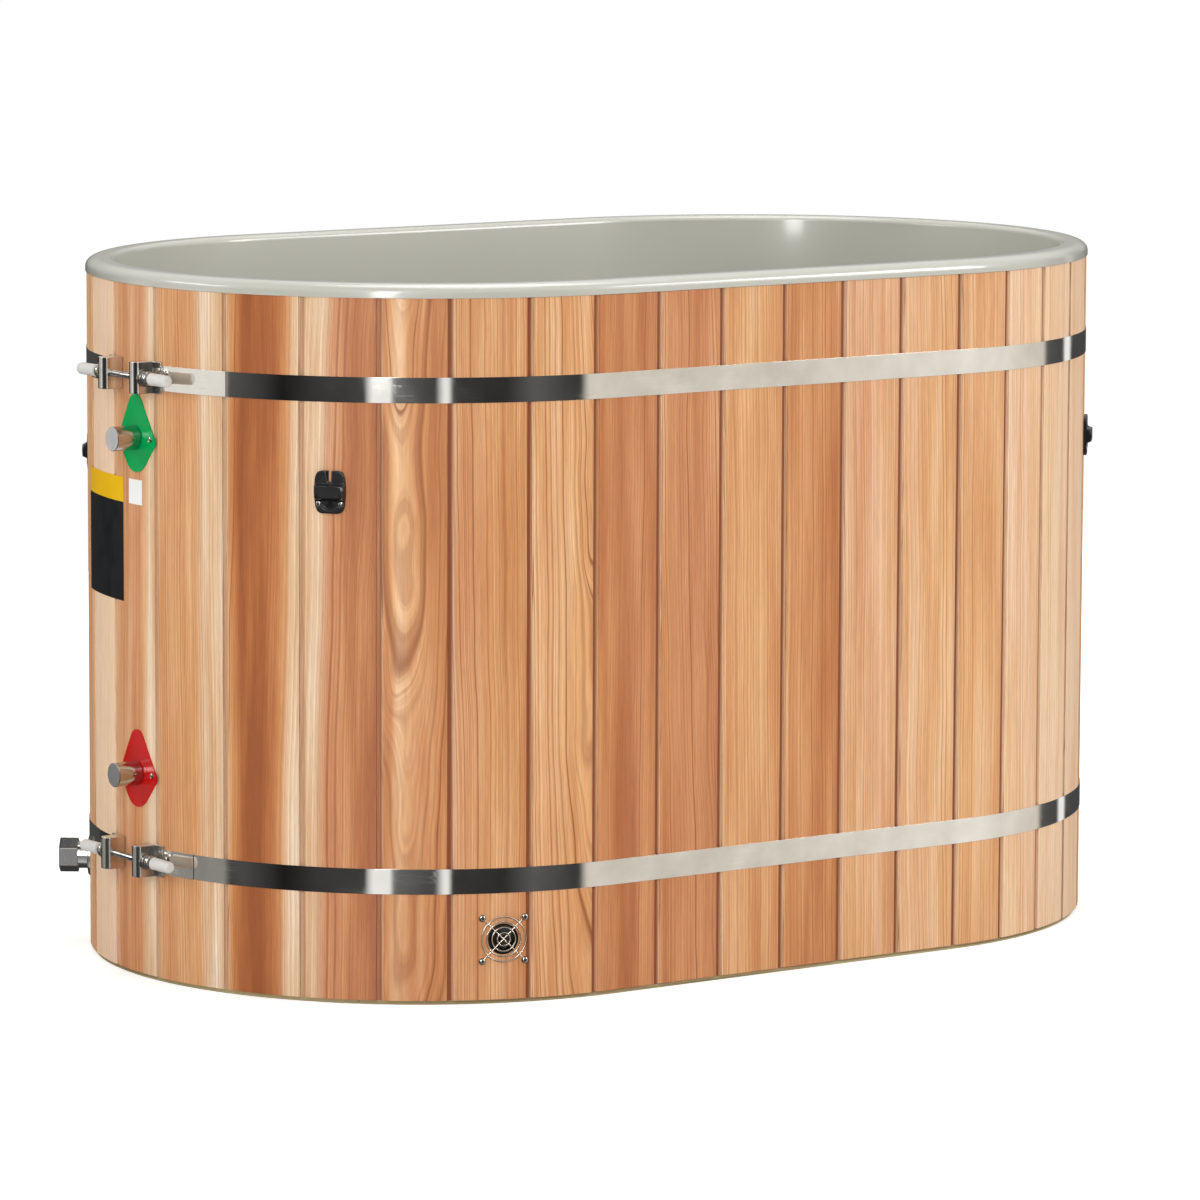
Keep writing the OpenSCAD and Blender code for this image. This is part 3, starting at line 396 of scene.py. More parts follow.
def strip_finish():
    """Cold-rolled stainless strip: bright, with fine lines along the roll and handling scratches."""
    mat, tree = finish("rolled_stainless_strip", "#F2F0EC", Metallic=1.0, Roughness=0.1)
    # "run" is the place along the strip and its height, in metres
    run = node(tree, "Attribute", attribute_name="run")
    # Rolling lines a tenth of a millimetre wide, drawn about 1 mm wide so that they show
    lines = node(tree, "VectorMath", {0: run, 1: (5.0, 900.0, 0.0)}, operation="MULTIPLY")
    lines = node(tree, "TexNoise", {"Vector": lines, "Scale": 1.0, "Detail": 3.0})
    smudge = node(tree, "TexNoise", {"Vector": run, "Scale": 22.0, "Detail": 3.0})
    tint = node(tree, "Mix", {0: smudge, 6: paint("#D8D4CC"), 7: paint("#FCFAF6")})
    # Scratches along the strip, only where it was handled
    scratch = node(tree, "VectorMath", {0: run, 1: (14.0, 160.0, 0.0)}, operation="MULTIPLY")
    scratch = node(tree, "TexVoronoi", {"Vector": scratch, "Scale": 1.0}, feature="DISTANCE_TO_EDGE")
    scratch = node(tree, "MapRange", {0: scratch, 1: 0.0, 2: 0.035, 3: 1.0, 4: 0.0})
    worn = node(tree, "MapRange", {0: smudge, 1: 0.5, 2: 0.62, 3: 0.0, 4: 0.5})
    scratch = node(tree, "Math", {0: scratch, 1: worn}, operation="MULTIPLY")
    rough = node(tree, "MapRange", {0: smudge, 1: 0.3, 2: 0.7, 3: 0.03, 4: 0.08})
    rough = node(tree, "Math", {0: lines, 1: 0.02, 2: rough}, operation="MULTIPLY_ADD")
    rough = node(tree, "Math", {0: scratch, 1: 0.15, 2: rough}, operation="MULTIPLY_ADD")
    height = node(tree, "Math", {0: scratch, 1: -1.5, 2: lines}, operation="MULTIPLY_ADD")
    bump = node(tree, "Bump", {"Strength": 0.08, "Distance": 0.0002, "Height": height})
    return driven(mat, Base_Color=tint, Roughness=rough, Normal=bump)


def clouded_finish(name, colour, other, rough, scale, detail, relief, **constants):
    """Two close shades in soft clouds, whose roughness runs from one value to another with them,
    under a fine relief. relief is its clouds' scale, its strength and its depth."""
    mat, tree = finish(name, colour, **constants)
    place = node(tree, "TexCoord")
    cloud = node(tree, "TexNoise", {"Vector": place, "Scale": scale, "Detail": detail})
    tint = node(tree, "Mix", {0: cloud, 6: paint(colour), 7: paint(other)})
    gloss = node(tree, "MapRange", {0: cloud, 1: 0.3, 2: 0.7, 3: rough[0], 4: rough[1]})
    fine = node(tree, "TexNoise", {"Vector": place, "Scale": relief[0], "Detail": 2.0})
    bump = node(tree, "Bump", {"Strength": relief[1], "Distance": relief[2], "Height": fine})
    return driven(mat, Base_Color=tint, Roughness=gloss, Normal=bump)


def metal_finish(name, colour, worn, low, high, scale):
    """Solid stainless: the shape's own gloss in soft patches, scale of them in a metre."""
    return clouded_finish(name, colour, worn, (low, high), scale, 3.0, (scale * 14, 0.05, 0.0002),
                          Metallic=1.0, Roughness=low)


def coated_finish(name, colour, other, rough, coat, scale, relief, specular=0.5):
    """Moulded or painted: even, with a skin texture and, where coat is over 0, a clear skin."""
    return clouded_finish(name, colour, other, (rough * 0.85, rough * 1.2), scale, 2.0,
                          (scale * 12, relief, 0.0004), Roughness=rough, IOR=1.5, Coat_Weight=coat,
                          Coat_Roughness=0.06, Specular_IOR_Level=specular)


def label_finish():
    """Printed vinyl film, blank: a yellow head over a black field, with a dull sheen."""
    mat, tree = finish("two_colour_film", "#17181A", Roughness=0.35, IOR=1.5, Specular_IOR_Level=0.2)
    place = node(tree, "TexCoord")
    height = node(tree, "SeparateXYZ", {0: place}, out=2)
    head = node(tree, "Math", {0: height, 1: (BOARD_LOW + LABEL_TOP - LABEL_HEAD) * MM},
                operation="GREATER_THAN")
    cloud = node(tree, "TexNoise", {"Vector": place, "Scale": 40.0, "Detail": 2.0})
    field = node(tree, "Mix", {0: cloud, 6: paint("#141517"), 7: paint("#222326")})
    tint = node(tree, "Mix", {0: head, 6: field, 7: paint("#F0BC00")})
    rough = node(tree, "MapRange", {0: cloud, 1: 0.3, 2: 0.7, 3: 0.3, 4: 0.42})
    return driven(mat, Base_Color=tint, Roughness=rough)


def plywood_finish():
    """Sealed plywood on edge: olive-tan veneers 1.6 mm thick, each a little lighter or darker."""
    mat, tree = finish("sealed_plywood", "#A4946A", Roughness=0.62, IOR=1.5)
    place = node(tree, "TexCoord")
    layers = node(tree, "VectorMath", {0: place, 1: (3.0, 3.0, 620.0)}, operation="MULTIPLY")
    layers = node(tree, "TexNoise", {"Vector": layers, "Scale": 1.0, "Detail": 0.5})
    tint = node(tree, "ValToRGB", {0: layers}, stops=[
        (0.35, "#857650"), (0.5, "#A4946A"), (0.65, "#BCAD82")])
    bump = node(tree, "Bump", {"Strength": 0.2, "Distance": 0.0004, "Height": layers})
    return driven(mat, Base_Color=tint, Normal=bump)


def foam_finish():
    """Rigid poured foam: pale straw with fine open cells about 2 mm across."""
    mat, tree = finish("rigid_foam", "#E0D4A6", Roughness=0.85, IOR=1.45)
    place = node(tree, "TexCoord")
    cells = node(tree, "TexVoronoi", {"Vector": place, "Scale": 480.0})
    tint = node(tree, "Mix", {0: cells, 6: paint("#C9BC8C"), 7: paint("#E9DFB6")})
    bump = node(tree, "Bump", {"Strength": 0.35, "Distance": 0.001, "Height": cells})
    return driven(mat, Base_Color=tint, Normal=bump)


CEDAR, GELCOAT, STRIP = cedar_finish(), gelcoat_finish(), strip_finish()
# Cast lugs: tumbled to a soft mirror on the upper clamps, and left satin on the lower ones
POLISHED = metal_finish("polished_stainless", "#E4E2DE", "#CFCCC6", 0.08, 0.16, 60.0)
BRUSHED = metal_finish("brushed_stainless", "#DCD9D4", "#C6C3BD", 0.2, 0.27, 60.0)
# Caps turned from bar: grey, with narrow bright streaks of the lamps
TURNED = metal_finish("turned_stainless", "#C8C7C5", "#B6B4B0", 0.1, 0.16, 40.0)
# Screws, nuts and rods, cold formed: darker and less glossy
FASTENER = metal_finish("bright_fastener_steel", "#BEBBB5", "#A8A49D", 0.16, 0.25, 120.0)
# Drawn wire with a thin warm plating
WIRE = metal_finish("plated_wire", "#E6DACC", "#D6C9BB", 0.2, 0.26, 150.0)
# Enamel baked on flat plates: strong colour, little shine from the front
GREEN = coated_finish("green_enamel", "#009A4C", "#00A454", 0.22, 0.0, 18.0, 0.03, 0.12)
RED = coated_finish("red_enamel", "#BC0E0A", "#C8110C", 0.22, 0.0, 18.0, 0.03, 0.3)
# Nylon from a textured mould: black, with broad soft highlights on its edges
NYLON = coated_finish("black_nylon", "#0C0C0D", "#161617", 0.35, 0.3, 60.0, 0.08)
# Pressed rubber, dull all over
RUBBER = coated_finish("black_rubber", "#121212", "#1B1B1B", 0.7, 0.0, 60.0, 0.1)
# Dipped soft plastic: off-white and satin
CAP_PLASTIC = coated_finish("white_cap_plastic", "#D4D2CD", "#DEDCD8", 0.4, 0.1, 50.0, 0.06)
# Blank vinyl film, flat and white
WHITE_FILM = coated_finish("white_film", "#F0F0EC", "#FAFAF7", 0.35, 0.0, 60.0, 0.02)
SLOT_FINISH = {
    "cedar": CEDAR, "plywood": plywood_finish(), "foam": foam_finish(), "gelcoat": GELCOAT,
    "band_steel": STRIP, "polished_steel": POLISHED, "white_plastic": CAP_PLASTIC,
    "fastener_steel": FASTENER, "turned_steel": TURNED, "green_enamel": GREEN, "red_enamel": RED,
    "rubber": RUBBER, "black_plastic": NYLON, "wire_steel": WIRE,
    "label_black": label_finish(), "label_white": WHITE_FILM}


# Boards

JOINTS = FIRST_JOINT + np.concatenate([[0], np.cumsum(BOARD_FACES)]) * WALL / BOARD_FACES.sum()
BOARD_COUNT = len(BOARD_FACES)
# How each board was cut from its log, going round by the front from the left end's middle, in mm:
# (heart across from the board's middle, heart behind its face, how dark or how dark at even steps
# across, how pink, ring spacing, how strong the rings are, radius of the sapwood).
# A heart close behind the face gives pointed arches, and one far to the side gives straight lines.
NO_SAP = 900
BOARD_CUTS = {
    37: (240, 60, 0.3, 0.6, 3.8, 0.5, NO_SAP), 38: (-240, 60, -0.3, 0.9, 3.6, 0.35, NO_SAP),
    0: (-300, 70, 0.46, 0.7, 3.4, 0.6, 333), 1: (-240, 50, 0.42, 0.3, 3.6, 1.0, 264),
    2: (-210, 80, (0.5, 0.85, 1.0, 0.85, 0.5, 0.32), 0.2, 3.8, 0.8, 256),
    3: (105, 42, (0.56, 0.5, 0.58, 0.74, 0.9), 1.0, 5.0, 0.9, 134),
    4: (-14, 40, (0.84, 0.22, 0.46, 0.6, 0.73), 0.4, 9.5, 1.0, NO_SAP),
    5: (-260, 60, 0.46, 0.5, 3.4, 1.0, NO_SAP), 6: (42, 30, 0.4, 0.3, 7.0, 1.0, NO_SAP),
    7: (280, 60, 0.72, 0.6, 3.6, 0.9, NO_SAP), 8: (240, 120, 0.61, 0.7, 4.0, 1.0, NO_SAP),
    9: (-260, 90, 0.4, 0.2, 3.8, 0.9, NO_SAP), 10: (240, 60, 0.65, 0.3, 4.2, 0.9, NO_SAP),
    11: (-300, 60, 0.32, 0.7, 3.8, 0.8, NO_SAP), 12: (240, 80, 0.29, 0.4, 4.6, 0.8, NO_SAP),
    13: (-260, 40, 0.38, 0.3, 4.2, 0.7, NO_SAP), 14: (210, 90, 0.14, 0.5, 4.6, 0.6, NO_SAP),
    15: (-240, 60, 0.04, 0.5, 4.6, 0.5, NO_SAP), 16: (260, 60, 0.04, 0.6, 4.0, 0.5, NO_SAP),
}


def board_cut(i):
    """The cut of board i: listed from the photograph, or seeded where that doesn't show the board."""
    if i in BOARD_CUTS:
        return BOARD_CUTS[i]
    rng = np.random.default_rng(100 + i)
    dark, pink = rng.uniform(0.15, 0.65), rng.uniform(0, 0.8)
    if rng.random() < 0.3:
        return (rng.uniform(-25, 25), rng.uniform(30, 45), dark, pink, rng.uniform(7, 11), 0.9, NO_SAP)
    return (rng.choice([-1, 1]) * rng.uniform(190, 300), rng.uniform(30, 110), dark, pink,
            rng.uniform(2.9, 4.5), rng.uniform(0.25, 0.6),
            NO_SAP if rng.random() < 0.7 else rng.uniform(215, 270))


def board(i):
    """One board as a prism: its outline in plan is the face, the stepped channel, tongue and groove
    and the inner face, each given by (distance along the wall, distance out from its face)."""
    a, b = JOINTS[i], JOINTS[i + 1]
    mid, half_t = (BOARD_T + CHANNEL_D) / 2, TONGUE_T / 2
    half_g, deep = half_t + BOARD_PLAY, TONGUE_L + 2 * BOARD_PLAY
    shut = BOARD_PLAY / 4
    edge, trough = CHANNEL_W / 2, -CHANNEL_D
    along = np.linspace(0, 1, 15)
    face = [(a + edge + t * (b - a - CHANNEL_W), 0) for t in along]
    back = [(b - BOARD_PLAY - t * (b - a - 2 * BOARD_PLAY), -BOARD_T) for t in along]
    outline = np.array(face + [
        (b - edge, trough), (b - edge + 1.6, trough), (b - shut, trough), (b - shut, half_t - mid),
        (b + TONGUE_L, half_t - mid), (b + TONGUE_L, -mid - half_t), (b - BOARD_PLAY, -mid - half_t),
    ] + back + [
        (a + BOARD_PLAY, -mid - half_g), (a + deep, -mid - half_g), (a + deep, half_g - mid),
        (a + shut, half_g - mid), (a + shut, trough), (a + edge - 1.0, trough), (a + edge, trough)])
    # Painted shade fills the channel from the board's right edge, and thins out towards the next face
    channel_shade = np.zeros(len(outline))
    channel_shade[len(along) - 1:len(along) + 3] = (0.15, 0.9, 1.0, 1.0)
    channel_shade[-3:] = (1.0, 0.35, 0.1)
    # On the boards of the left end the painted shade is lighter, as the lamps reach into their channels
    if i in (37, 38, 0, 1, 2, 3):
        channel_shade *= 0.42
    s, out = outline.T
    points, faces = prism(wall_point(s, out, 0)[:, :2], BOARD_LOW, BOARD_LOW + BOARD_H)
    heart_across, heart_behind, dark, pink, spacing, strength, sapwood = board_cut(i)
    z = np.repeat([0.0, BOARD_H], len(s))
    # Logs taper: the heart draws nearer to the face by 45 mm in a metre, up or down by turns
    taper = 0.045 * (1 if i % 2 else -1) * (z - BOARD_H / 2)
    log = np.stack([np.tile(s, 2) - (a + b) / 2 - heart_across, np.tile(out, 2) + heart_behind + taper,
                    z + 3000 * i], -1) * MM
    # The channels are drawn paler than the faces, and the face's left edge and the channel's right half
    # paler still: painted light where the channel's right wall catches the lamps
    steps = np.atleast_1d(dark)
    shade = np.interp((s - a) / (b - a), np.linspace(0, 1, len(steps)), steps) - 0.3 * (out < 0)
    shade[0] -= 0.15
    shade[-3:] -= 0.3
    look = np.stack(np.broadcast_arrays(np.tile(shade, 2), pink, np.tile(channel_shade, 2)), -1)
    rings = np.stack(np.broadcast_arrays(1000 / spacing, strength, np.full(len(z), sapwood * MM)), -1)
    return points, faces, {"log": log, "look": look, "rings": rings}


def board_group(name, low, high, hole):
    """The boards whose middles lie between two places along the wall, as one piece, with a cutter's
    solid taken out where one is given."""
    middles = np.mod((JOINTS[:-1] + JOINTS[1:]) / 2, WALL)
    made = [board(i) for i in range(BOARD_COUNT) if low <= middles[i] < high]
    points, faces = together(*[m[:2] for m in made])
    marks = {key: np.concatenate([m[2][key] for m in made]) for key in made[0][2]}
    obj = piece(name + "_faces", points, faces, CEDAR, "cedar", [name], marks=marks, sharp=30)
    if hole:
        cut_hole(obj, hole)
    round_edges(obj, 0.7)


def cut_hole(obj, tool, solver="EXACT"):
    """Takes a cutter's solid out of a piece, and keeps the piece's own corner marks."""
    made = obj.modifiers.new("hole", "BOOLEAN")
    made.object, made.operation, made.solver = tool, "DIFFERENCE", solver
    bpy.context.view_layer.update()
    done = bpy.data.meshes.new_from_object(obj.evaluated_get(bpy.context.evaluated_depsgraph_get()))
    obj.modifiers.remove(made)
    obj.data = done
    bpy.data.objects.remove(tool)


def cutter(points, faces):
    """A solid to cut a hole with, from points in metres and faces."""
    mesh = bpy.data.meshes.new("cutter")
    mesh.from_pydata(points.tolist(), [], faces)
    weld_points(mesh)
    return add_object("cutter", mesh)


def drill(s, up, r):
    """A round cutter through the wall at one place: turned, with plain ends."""
    points, faces = turned([(-30, 0), (-30, r), (8, r), (8, 0)], 64)
    return cutter(set_at(points, *wall_place(s, 0, BOARD_LOW + up)), faces.tolist())


SECTIONS = [0, *LAPS[:2], WALL / 2, *LAPS[2:], WALL]
for name, low, high in zip(
        ("left_front", "front", "right_front", "right_back", "back", "left_back"),
        SECTIONS, SECTIONS[1:]):
    hole = drill(VENT_S, VENT_UP, VENT_R) if name == "left_front" else None
    board_group(name + "_boards", low, high, hole)


# Liner

def liner():
    """The moulded liner: a profile of (distance from the long axis, height) swept round the tub.
    It runs over the bath's floor, up a fillet and the sloping wall, over the lip and the rim,
    whose edge is a quarter of an ellipse, and back down the hidden side."""
    arc = np.radians(np.linspace(0, 90, 9))
    fillet = np.radians(np.linspace(0, 90, 10))
    foot_r, foot_z = BATH_LOW_R - FILLET_R, BATH_FLOOR + FILLET_R
    lip_z, under = RIM_TOP - LIP_R, RIM_TOP - LINER_T
    wall_z = np.linspace(foot_z, lip_z, 14)[1:-1]
    edge_w, edge_h = 14, 11

    def bow(turn, x, z, wide, high):
        """Points on an arc about (x, z)."""
        return np.stack([x + wide * np.sin(turn), z + high * np.cos(turn)], -1)

    profile = np.concatenate([
        np.stack([np.linspace(0, foot_r, 14)[:-1], np.full(13, BATH_FLOOR)], -1),
        bow(fillet, foot_r, foot_z, FILLET_R, -FILLET_R),
        np.stack([np.interp(wall_z, [foot_z, lip_z], [BATH_LOW_R, BATH_TOP_R]), wall_z], -1),
        bow(arc - math.pi / 2, BATH_TOP_R + LIP_R, lip_z, LIP_R, LIP_R),
        np.stack([np.linspace(BATH_TOP_R + LIP_R, RIM_R - edge_w, 6)[1:-1], np.full(4, RIM_TOP)], -1),
        bow(arc, RIM_R - edge_w, RIM_TOP - edge_h, edge_w, edge_h),
        [(RIM_R, 810.3), (RIM_R - 0.3, 810), (RIM_R - LINER_T, 810), (RIM_R - LINER_T, under),
         (BATH_TOP_R + 4.9, under)],
        bow(fillet[::-1], foot_r, foot_z, FILLET_R + LINER_T, -FILLET_R - LINER_T),
        [(0, BATH_FLOOR - LINER_T)]])
    s = np.concatenate([np.linspace(a, b, n, endpoint=False)
                        for a, b, n in zip([0, *LAPS], [*LAPS, WALL], (48, 12, 96, 12, 48))])
    r, z = profile.T
    points = wall_point(s[:, None], r[None] - END_R, z[None])
    piece("liner_shell", points, grid_faces(len(s), len(r), close_rows=True), GELCOAT, "gelcoat",
          ["liner"], weld=True, sharp=40)


def pads():
    """Flat round pads on the liner's wall where the fittings seat: each is turned, with a soft edge."""
    parts = []
    soft = np.radians(np.linspace(90, 0, 5))
    for up, angle, hole, r in (*((up, 0, 11, 21) for up in PORT_UP), (DRAIN_UP, DRAIN_ANGLE, 16, 23)):
        z = BOARD_LOW + up
        face = BATH_TOP_R - WALL_SLOPE * (RIM_TOP - z) / (RIM_TOP - BATH_FLOOR) - 6
        profile = [(face, hole)] + [
            (face + 2 - 2 * math.sin(t), r - 2 + 2 * math.cos(t)) for t in soft] + [
            (face + 10, r), (face + 10, hole)]
        points, faces = turned(profile)
        angle = math.radians(angle)
        parts.append((set_at(points, (-HALF, 0, z), (-math.cos(angle), math.sin(angle))), faces))
    piece("liner_pads", *together(*parts), GELCOAT, "gelcoat", ["liner"], weld=True)


liner()
pads()


# Bands and clamps

def strip(s0, s1, out, thick, z, width, corner=0.04):
    """A strip on the wall from s0 to s1: a thin section with rounded corners, swept along the wall.
    Gives its points, its faces, and for each point how far along and how high it is."""
    # Section counterclockwise when seen along the strip: outer face, then the side against the wall
    section = []
    for dx, up, start in ((1, 1, 0), (0, 1, 90), (0, -1, 180), (1, -1, 270)):
        x = out + (thick - corner if dx else corner)
        arc = [(x + corner * math.cos(t), z + up * (width / 2 - corner) + corner * math.sin(t))
               for t in np.radians(np.array([0, 45, 90]) + start)]
        # A row beside each corner keeps the flat faces shading flat
        flat_z = z + up * (width / 2 - 2 * corner)
        section += [(arc[0][0], flat_z), *arc] if start in (0, 180) else [*arc, (arc[-1][0], flat_z)]
    o, h = np.array(section).T
    s = np.linspace(s0, s1, max(8, int((s1 - s0) / 9)))
    points = wall_point(s[:, None], o[None], h[None])
    run = np.stack(np.broadcast_arrays(s[:, None], h[None], 0.0), -1).reshape(-1, 3) * MM
    return points.reshape(-1, 3), [f[::-1] for f in tube_faces(len(s), len(o))], run


def band(level):
    """One band, open between the two lugs of its clamp."""
    gap = LUG_GAP / 2 - LUG_SEAT
    front = END_R * math.asin((-CLAMP_Y + gap) / END_R)
    back = WALL - END_R * math.asin((CLAMP_Y + gap) / END_R)
    points, faces, run = strip(front, back, 0, BAND_T, BAND_Z[level], BAND_W)
    piece(level + "_band_strip", points, faces, STRIP, "band_steel", [level + "_band"],
          marks={"run": run})


def lug(level, side, way):
    """A clamp lug: its outline in plan is a round front cut flat at the two seats, straight sides
    down to the band and a foot along it. It is carried up its height, and its strap doubles the
    band."""
    y = CLAMP_Y + way * LUG_GAP / 2
    flat = math.asin(LUG_SEAT / LUG_R)

    def on_band(r, at):
        return -HALF - math.sqrt((END_R + r) ** 2 - at ** 2), at

    front = [(ROD_X - LUG_R * math.cos(t), y + way * LUG_R * math.sin(t))
             for t in np.linspace(-flat, flat, 25)]
    foot_y = np.linspace(y + way * (LUG_SEAT + 1), y + way * (LUG_SEAT + 14), 5)
    foot = [on_band(BAND_T + 2, at) for at in foot_y]
    fillet = [on_band(BAND_T + 3, y + way * LUG_SEAT),
              on_band(BAND_T + 2.3, y + way * (LUG_SEAT + 0.3))]
    under = [on_band(BAND_T, at) for at in np.linspace(foot_y[-1], y - way * LUG_SEAT, 12)]
    outline = counterclockwise(np.array(front + fillet + foot + under) * MM)
    points, faces = prism(outline, BAND_Z[level] - LUG_H / 2, BAND_Z[level] + LUG_H / 2)
    steel = POLISHED if level == "upper" else BRUSHED
    piece(f"{level}_{side}_lug_body", points, faces, steel, "polished_steel",
          [f"{level}_{side}_lug"], bevel=0.7)
    ends = sorted(END_R * math.asin(-v / END_R) for v in (y, y + way * STRAP_L[level]))
    points, faces, run = strip(ends[0], ends[1], BAND_T, BAND_T, BAND_Z[level], BAND_W)
    piece(f"{level}_{side}_lug_strap", points, faces, STRIP, "band_steel",
          [f"{level}_{side}_lug"], marks={"run": run})


def rod(level):
    """A threaded rod along Y: its radius falls by up to 0.6 mm as a cosine of the angle less the
    distance over the pitch, and the thread fades out at both ends."""
    y0, y1 = CLAMP_Y - LUG_GAP / 2 - ROD_PAST, CLAMP_Y + LUG_GAP / 2 + ROD_PAST
    along = np.linspace(y0, y1, int((y1 - y0) / PITCH * 6))[:, None]
    angle = np.linspace(0, 2 * math.pi, 24, endpoint=False)
    depth = 0.3 - 0.3 * np.cos(2 * math.pi * along / PITCH - angle)
    r = ROD_R - depth * np.clip((y1 - along - 0.5) / 2, 0, 1) * np.clip((along - y0 - 0.5) / 2, 0, 1)
    points = np.stack(np.broadcast_arrays(
        ROD_X + r * np.sin(angle), along, BAND_Z[level] + r * np.cos(angle)), -1) * MM
    faces = [f[::-1] for f in tube_faces(len(along), len(angle))]
    piece(level + "_rod_thread", points, faces, FASTENER, "polished_steel", [level + "_rod"], sharp=50)


def nut(level, side, way):
    """A round nut: turned with a groove near the washer and a domed outer end."""
    profile = [(0, 4.05), (0, 7.9), (0.3, 8.2), (1.6, 8.2), (1.9, 7.9), (2.1, 7.3), (2.7, 7.3),
               (2.9, 7.9), (3.2, 8.2)]
    profile += [(NUT_L - 3.2 + 3.2 * math.sin(t), 5.0 + 3.2 * math.cos(t))
                for t in np.radians(np.linspace(0, 90, 7))]
    points, faces = turned(profile + [(NUT_L, 4.05)])
    at = (ROD_X, CLAMP_Y + way * (LUG_GAP / 2 + LUG_SEAT + WASHER_T), BAND_Z[level])
    piece(f"{level}_{side}_nut_turned", set_at(points, at, (0, way)), faces, FASTENER,
          "fastener_steel", [f"{level}_{side}_nut"], body=f"{level}_{side}_nut", weld=True, sharp=50)


def end_caps():
    """Four soft plastic caps: a slightly tapered sleeve with a rolled mouth and a rounded end."""
    profile = [(0, 4.05), (0, 6.9), (0.4, 7.25), (1.2, 7.3), (2.2, 7.25), (3.0, 7.15)]
    profile += [(CAP_L - 3.4 + 3.4 * math.sin(t), 3.5 + 3.4 * math.cos(t))
                for t in np.radians(np.linspace(0, 90, 9))]
    points, faces = turned(profile + [(CAP_L, 0), (CAP_L - CAP_END, 0), (CAP_L - CAP_END, 4.05)])
    far = LUG_GAP / 2 + ROD_PAST - CAP_L + CAP_END
    parts = [(set_at(points, (ROD_X, CLAMP_Y + way * far, z), (0, way)), faces)
             for z in BAND_Z.values() for way in (-1, 1)]
    piece("rod_end_cap_sleeves", *together(*parts), CAP_PLASTIC, "white_plastic", ["rod_end_caps"],
          weld=True, sharp=50)


for level in BAND_Z:
    band(level)
    rod(level)
    for side, way in (("front", -1), ("back", 1)):
        lug(level, side, way)
        nut(level, side, way)
end_caps()


# Cover latches

def latch_height(y, z):
    """How far the latch's face stands out from the wall at each place across it: a plate 4 mm
    thick, a housing 10 mm out with sloping upper and lower faces, a slot down from
    the upper edge, two screw sinks, and a fan-shaped hollow with two ribs at the bottom."""
    def ramp(v, low, high):
        t = np.clip((v - low) / (high - low), 0, 1)
        return t * t * (3 - 2 * t)

    housing = ramp(z, -9.5, -6.0) * (1 - ramp(z, 7.3, 9.5)) * (1 - ramp(np.abs(y), 16.6, 18.4))
    face = 4.0 + 6.0 * housing
    fan = np.hypot(y, z + 8.5)
    hollow = (1 - ramp(fan, 11.0, 12.5)) * ramp(-z - 9.0, 0.0, 1.2)
    face = face - 2.2 * hollow
    ribs = (1 - ramp(np.abs(np.abs(y) - 2.6), 0.7, 1.3)) * hollow
    face = face + 2.0 * ribs
    sink = 1 - ramp(np.hypot(np.abs(y) - LATCH_SCREWS[1], z - LATCH_SCREW_UP), 3.7, 4.1)
    face = face * (1 - sink) + 3.0 * sink
    slot = (1 - ramp(np.abs(y), 1.2, 1.8)) * ramp(z, 10.8, 12.0)
    return face * (1 - slot) + 0.4 * slot


def latch(side, s):
    """A moulded latch: rings of a rounded rectangle from its middle to its edge, each lifted to the
    height of the face there, then rolled over the edge to the flat back."""
    wide, high = 37.0, 49.0
    t = np.linspace(0, 2 * math.pi, 168, endpoint=False)
    # A rounded rectangle, wider at the housing than at its foot
    y_edge, z_edge = (np.sign(v) * np.abs(v) ** (2 / 5.5) * size / 2
                      for v, size in ((np.cos(t), wide), (np.sin(t), high)))
    y_edge = y_edge * np.interp(z_edge, [-high / 2, -4, 5, high / 2], [0.90, 1.0, 1.0, 0.93])
    share = np.concatenate([np.linspace(0, 0.97, 40), [0.985, 0.995, 1.0]])[:, None]
    x = latch_height(share * y_edge, share * z_edge)
    x = x - 1.3 * (1 - np.sqrt(1 - np.clip((share - 0.95) / 0.05, 0, 1) ** 2))
    x = np.concatenate([x, np.zeros((3, len(t)))])
    share = np.concatenate([share, [[1.0], [0.5], [0.0]]])
    at, out = wall_place(s, 0, BOARD_LOW + LATCH_UP)
    points = np.stack([x, share * y_edge, share * z_edge], -1).reshape(-1, 3)
    obj = piece(side + "_latch_moulding", set_at(points, at, out),
                grid_faces(len(x), len(t), close_cols=True), NYLON, "black_plastic",
                [side + "_latch"], weld=True, sharp=60)
    # The slot runs through to the wall
    slot = np.array([(-2, -1.7, 0), (14, -1.7, 0), (14, 1.7, 0), (-2, 1.7, 0)], float)
    slot = counterclockwise(set_at(slot, at, out)[:, :2])
    cut_hole(obj, cutter(*prism(slot, at[2] + 12, at[2] + 30)), "MANIFOLD")


for side, s in LATCHES.items():
    latch(side, s)


# Screws

def screw(shank):
    """A round-headed screw along +X: turned, with a cross pressed 1 mm into its head, whose arms
    are 0.9 mm wide at the bottom and 1.5 mm at the top."""
    r = np.array([0, 0.4, 0.7, 1.0, 1.3, 1.6, 1.9, 2.2, 2.6, 3.0, 3.25, 3.4, 3.4, 1.5, 1.5, 0])
    dome = 2.0 * np.sqrt(np.clip(1 - (r[:12] / 3.75) ** 2, 0, 1))
    x = np.concatenate([dome, [0, 0, -shank, -shank]])
    angle = np.linspace(0, 2 * math.pi, 32, endpoint=False)
    y, z = r[:, None] * np.cos(angle), r[:, None] * np.sin(angle)
    arm = np.minimum(np.abs(y), np.abs(z))
    cross = np.clip((0.75 - arm) / 0.3, 0, 1) * np.clip((2.1 - r[:, None]) / 0.3, 0, 1)
    height = x[:, None] - np.where(np.arange(len(r))[:, None] < 12, cross, 0)
    return np.stack([height, y, z], -1).reshape(-1, 3), grid_faces(len(r), 32, close_cols=True)[:, ::-1]


def screws(kind, shank, places):
    """Screws at (place, outward direction), as one piece."""
    points, faces = screw(shank)
    piece(kind + "_screw_heads", *together(*[(set_at(points, *place), faces) for place in places]),
          FASTENER, "fastener_steel", [kind + "_screws"], weld=True, sharp=40)


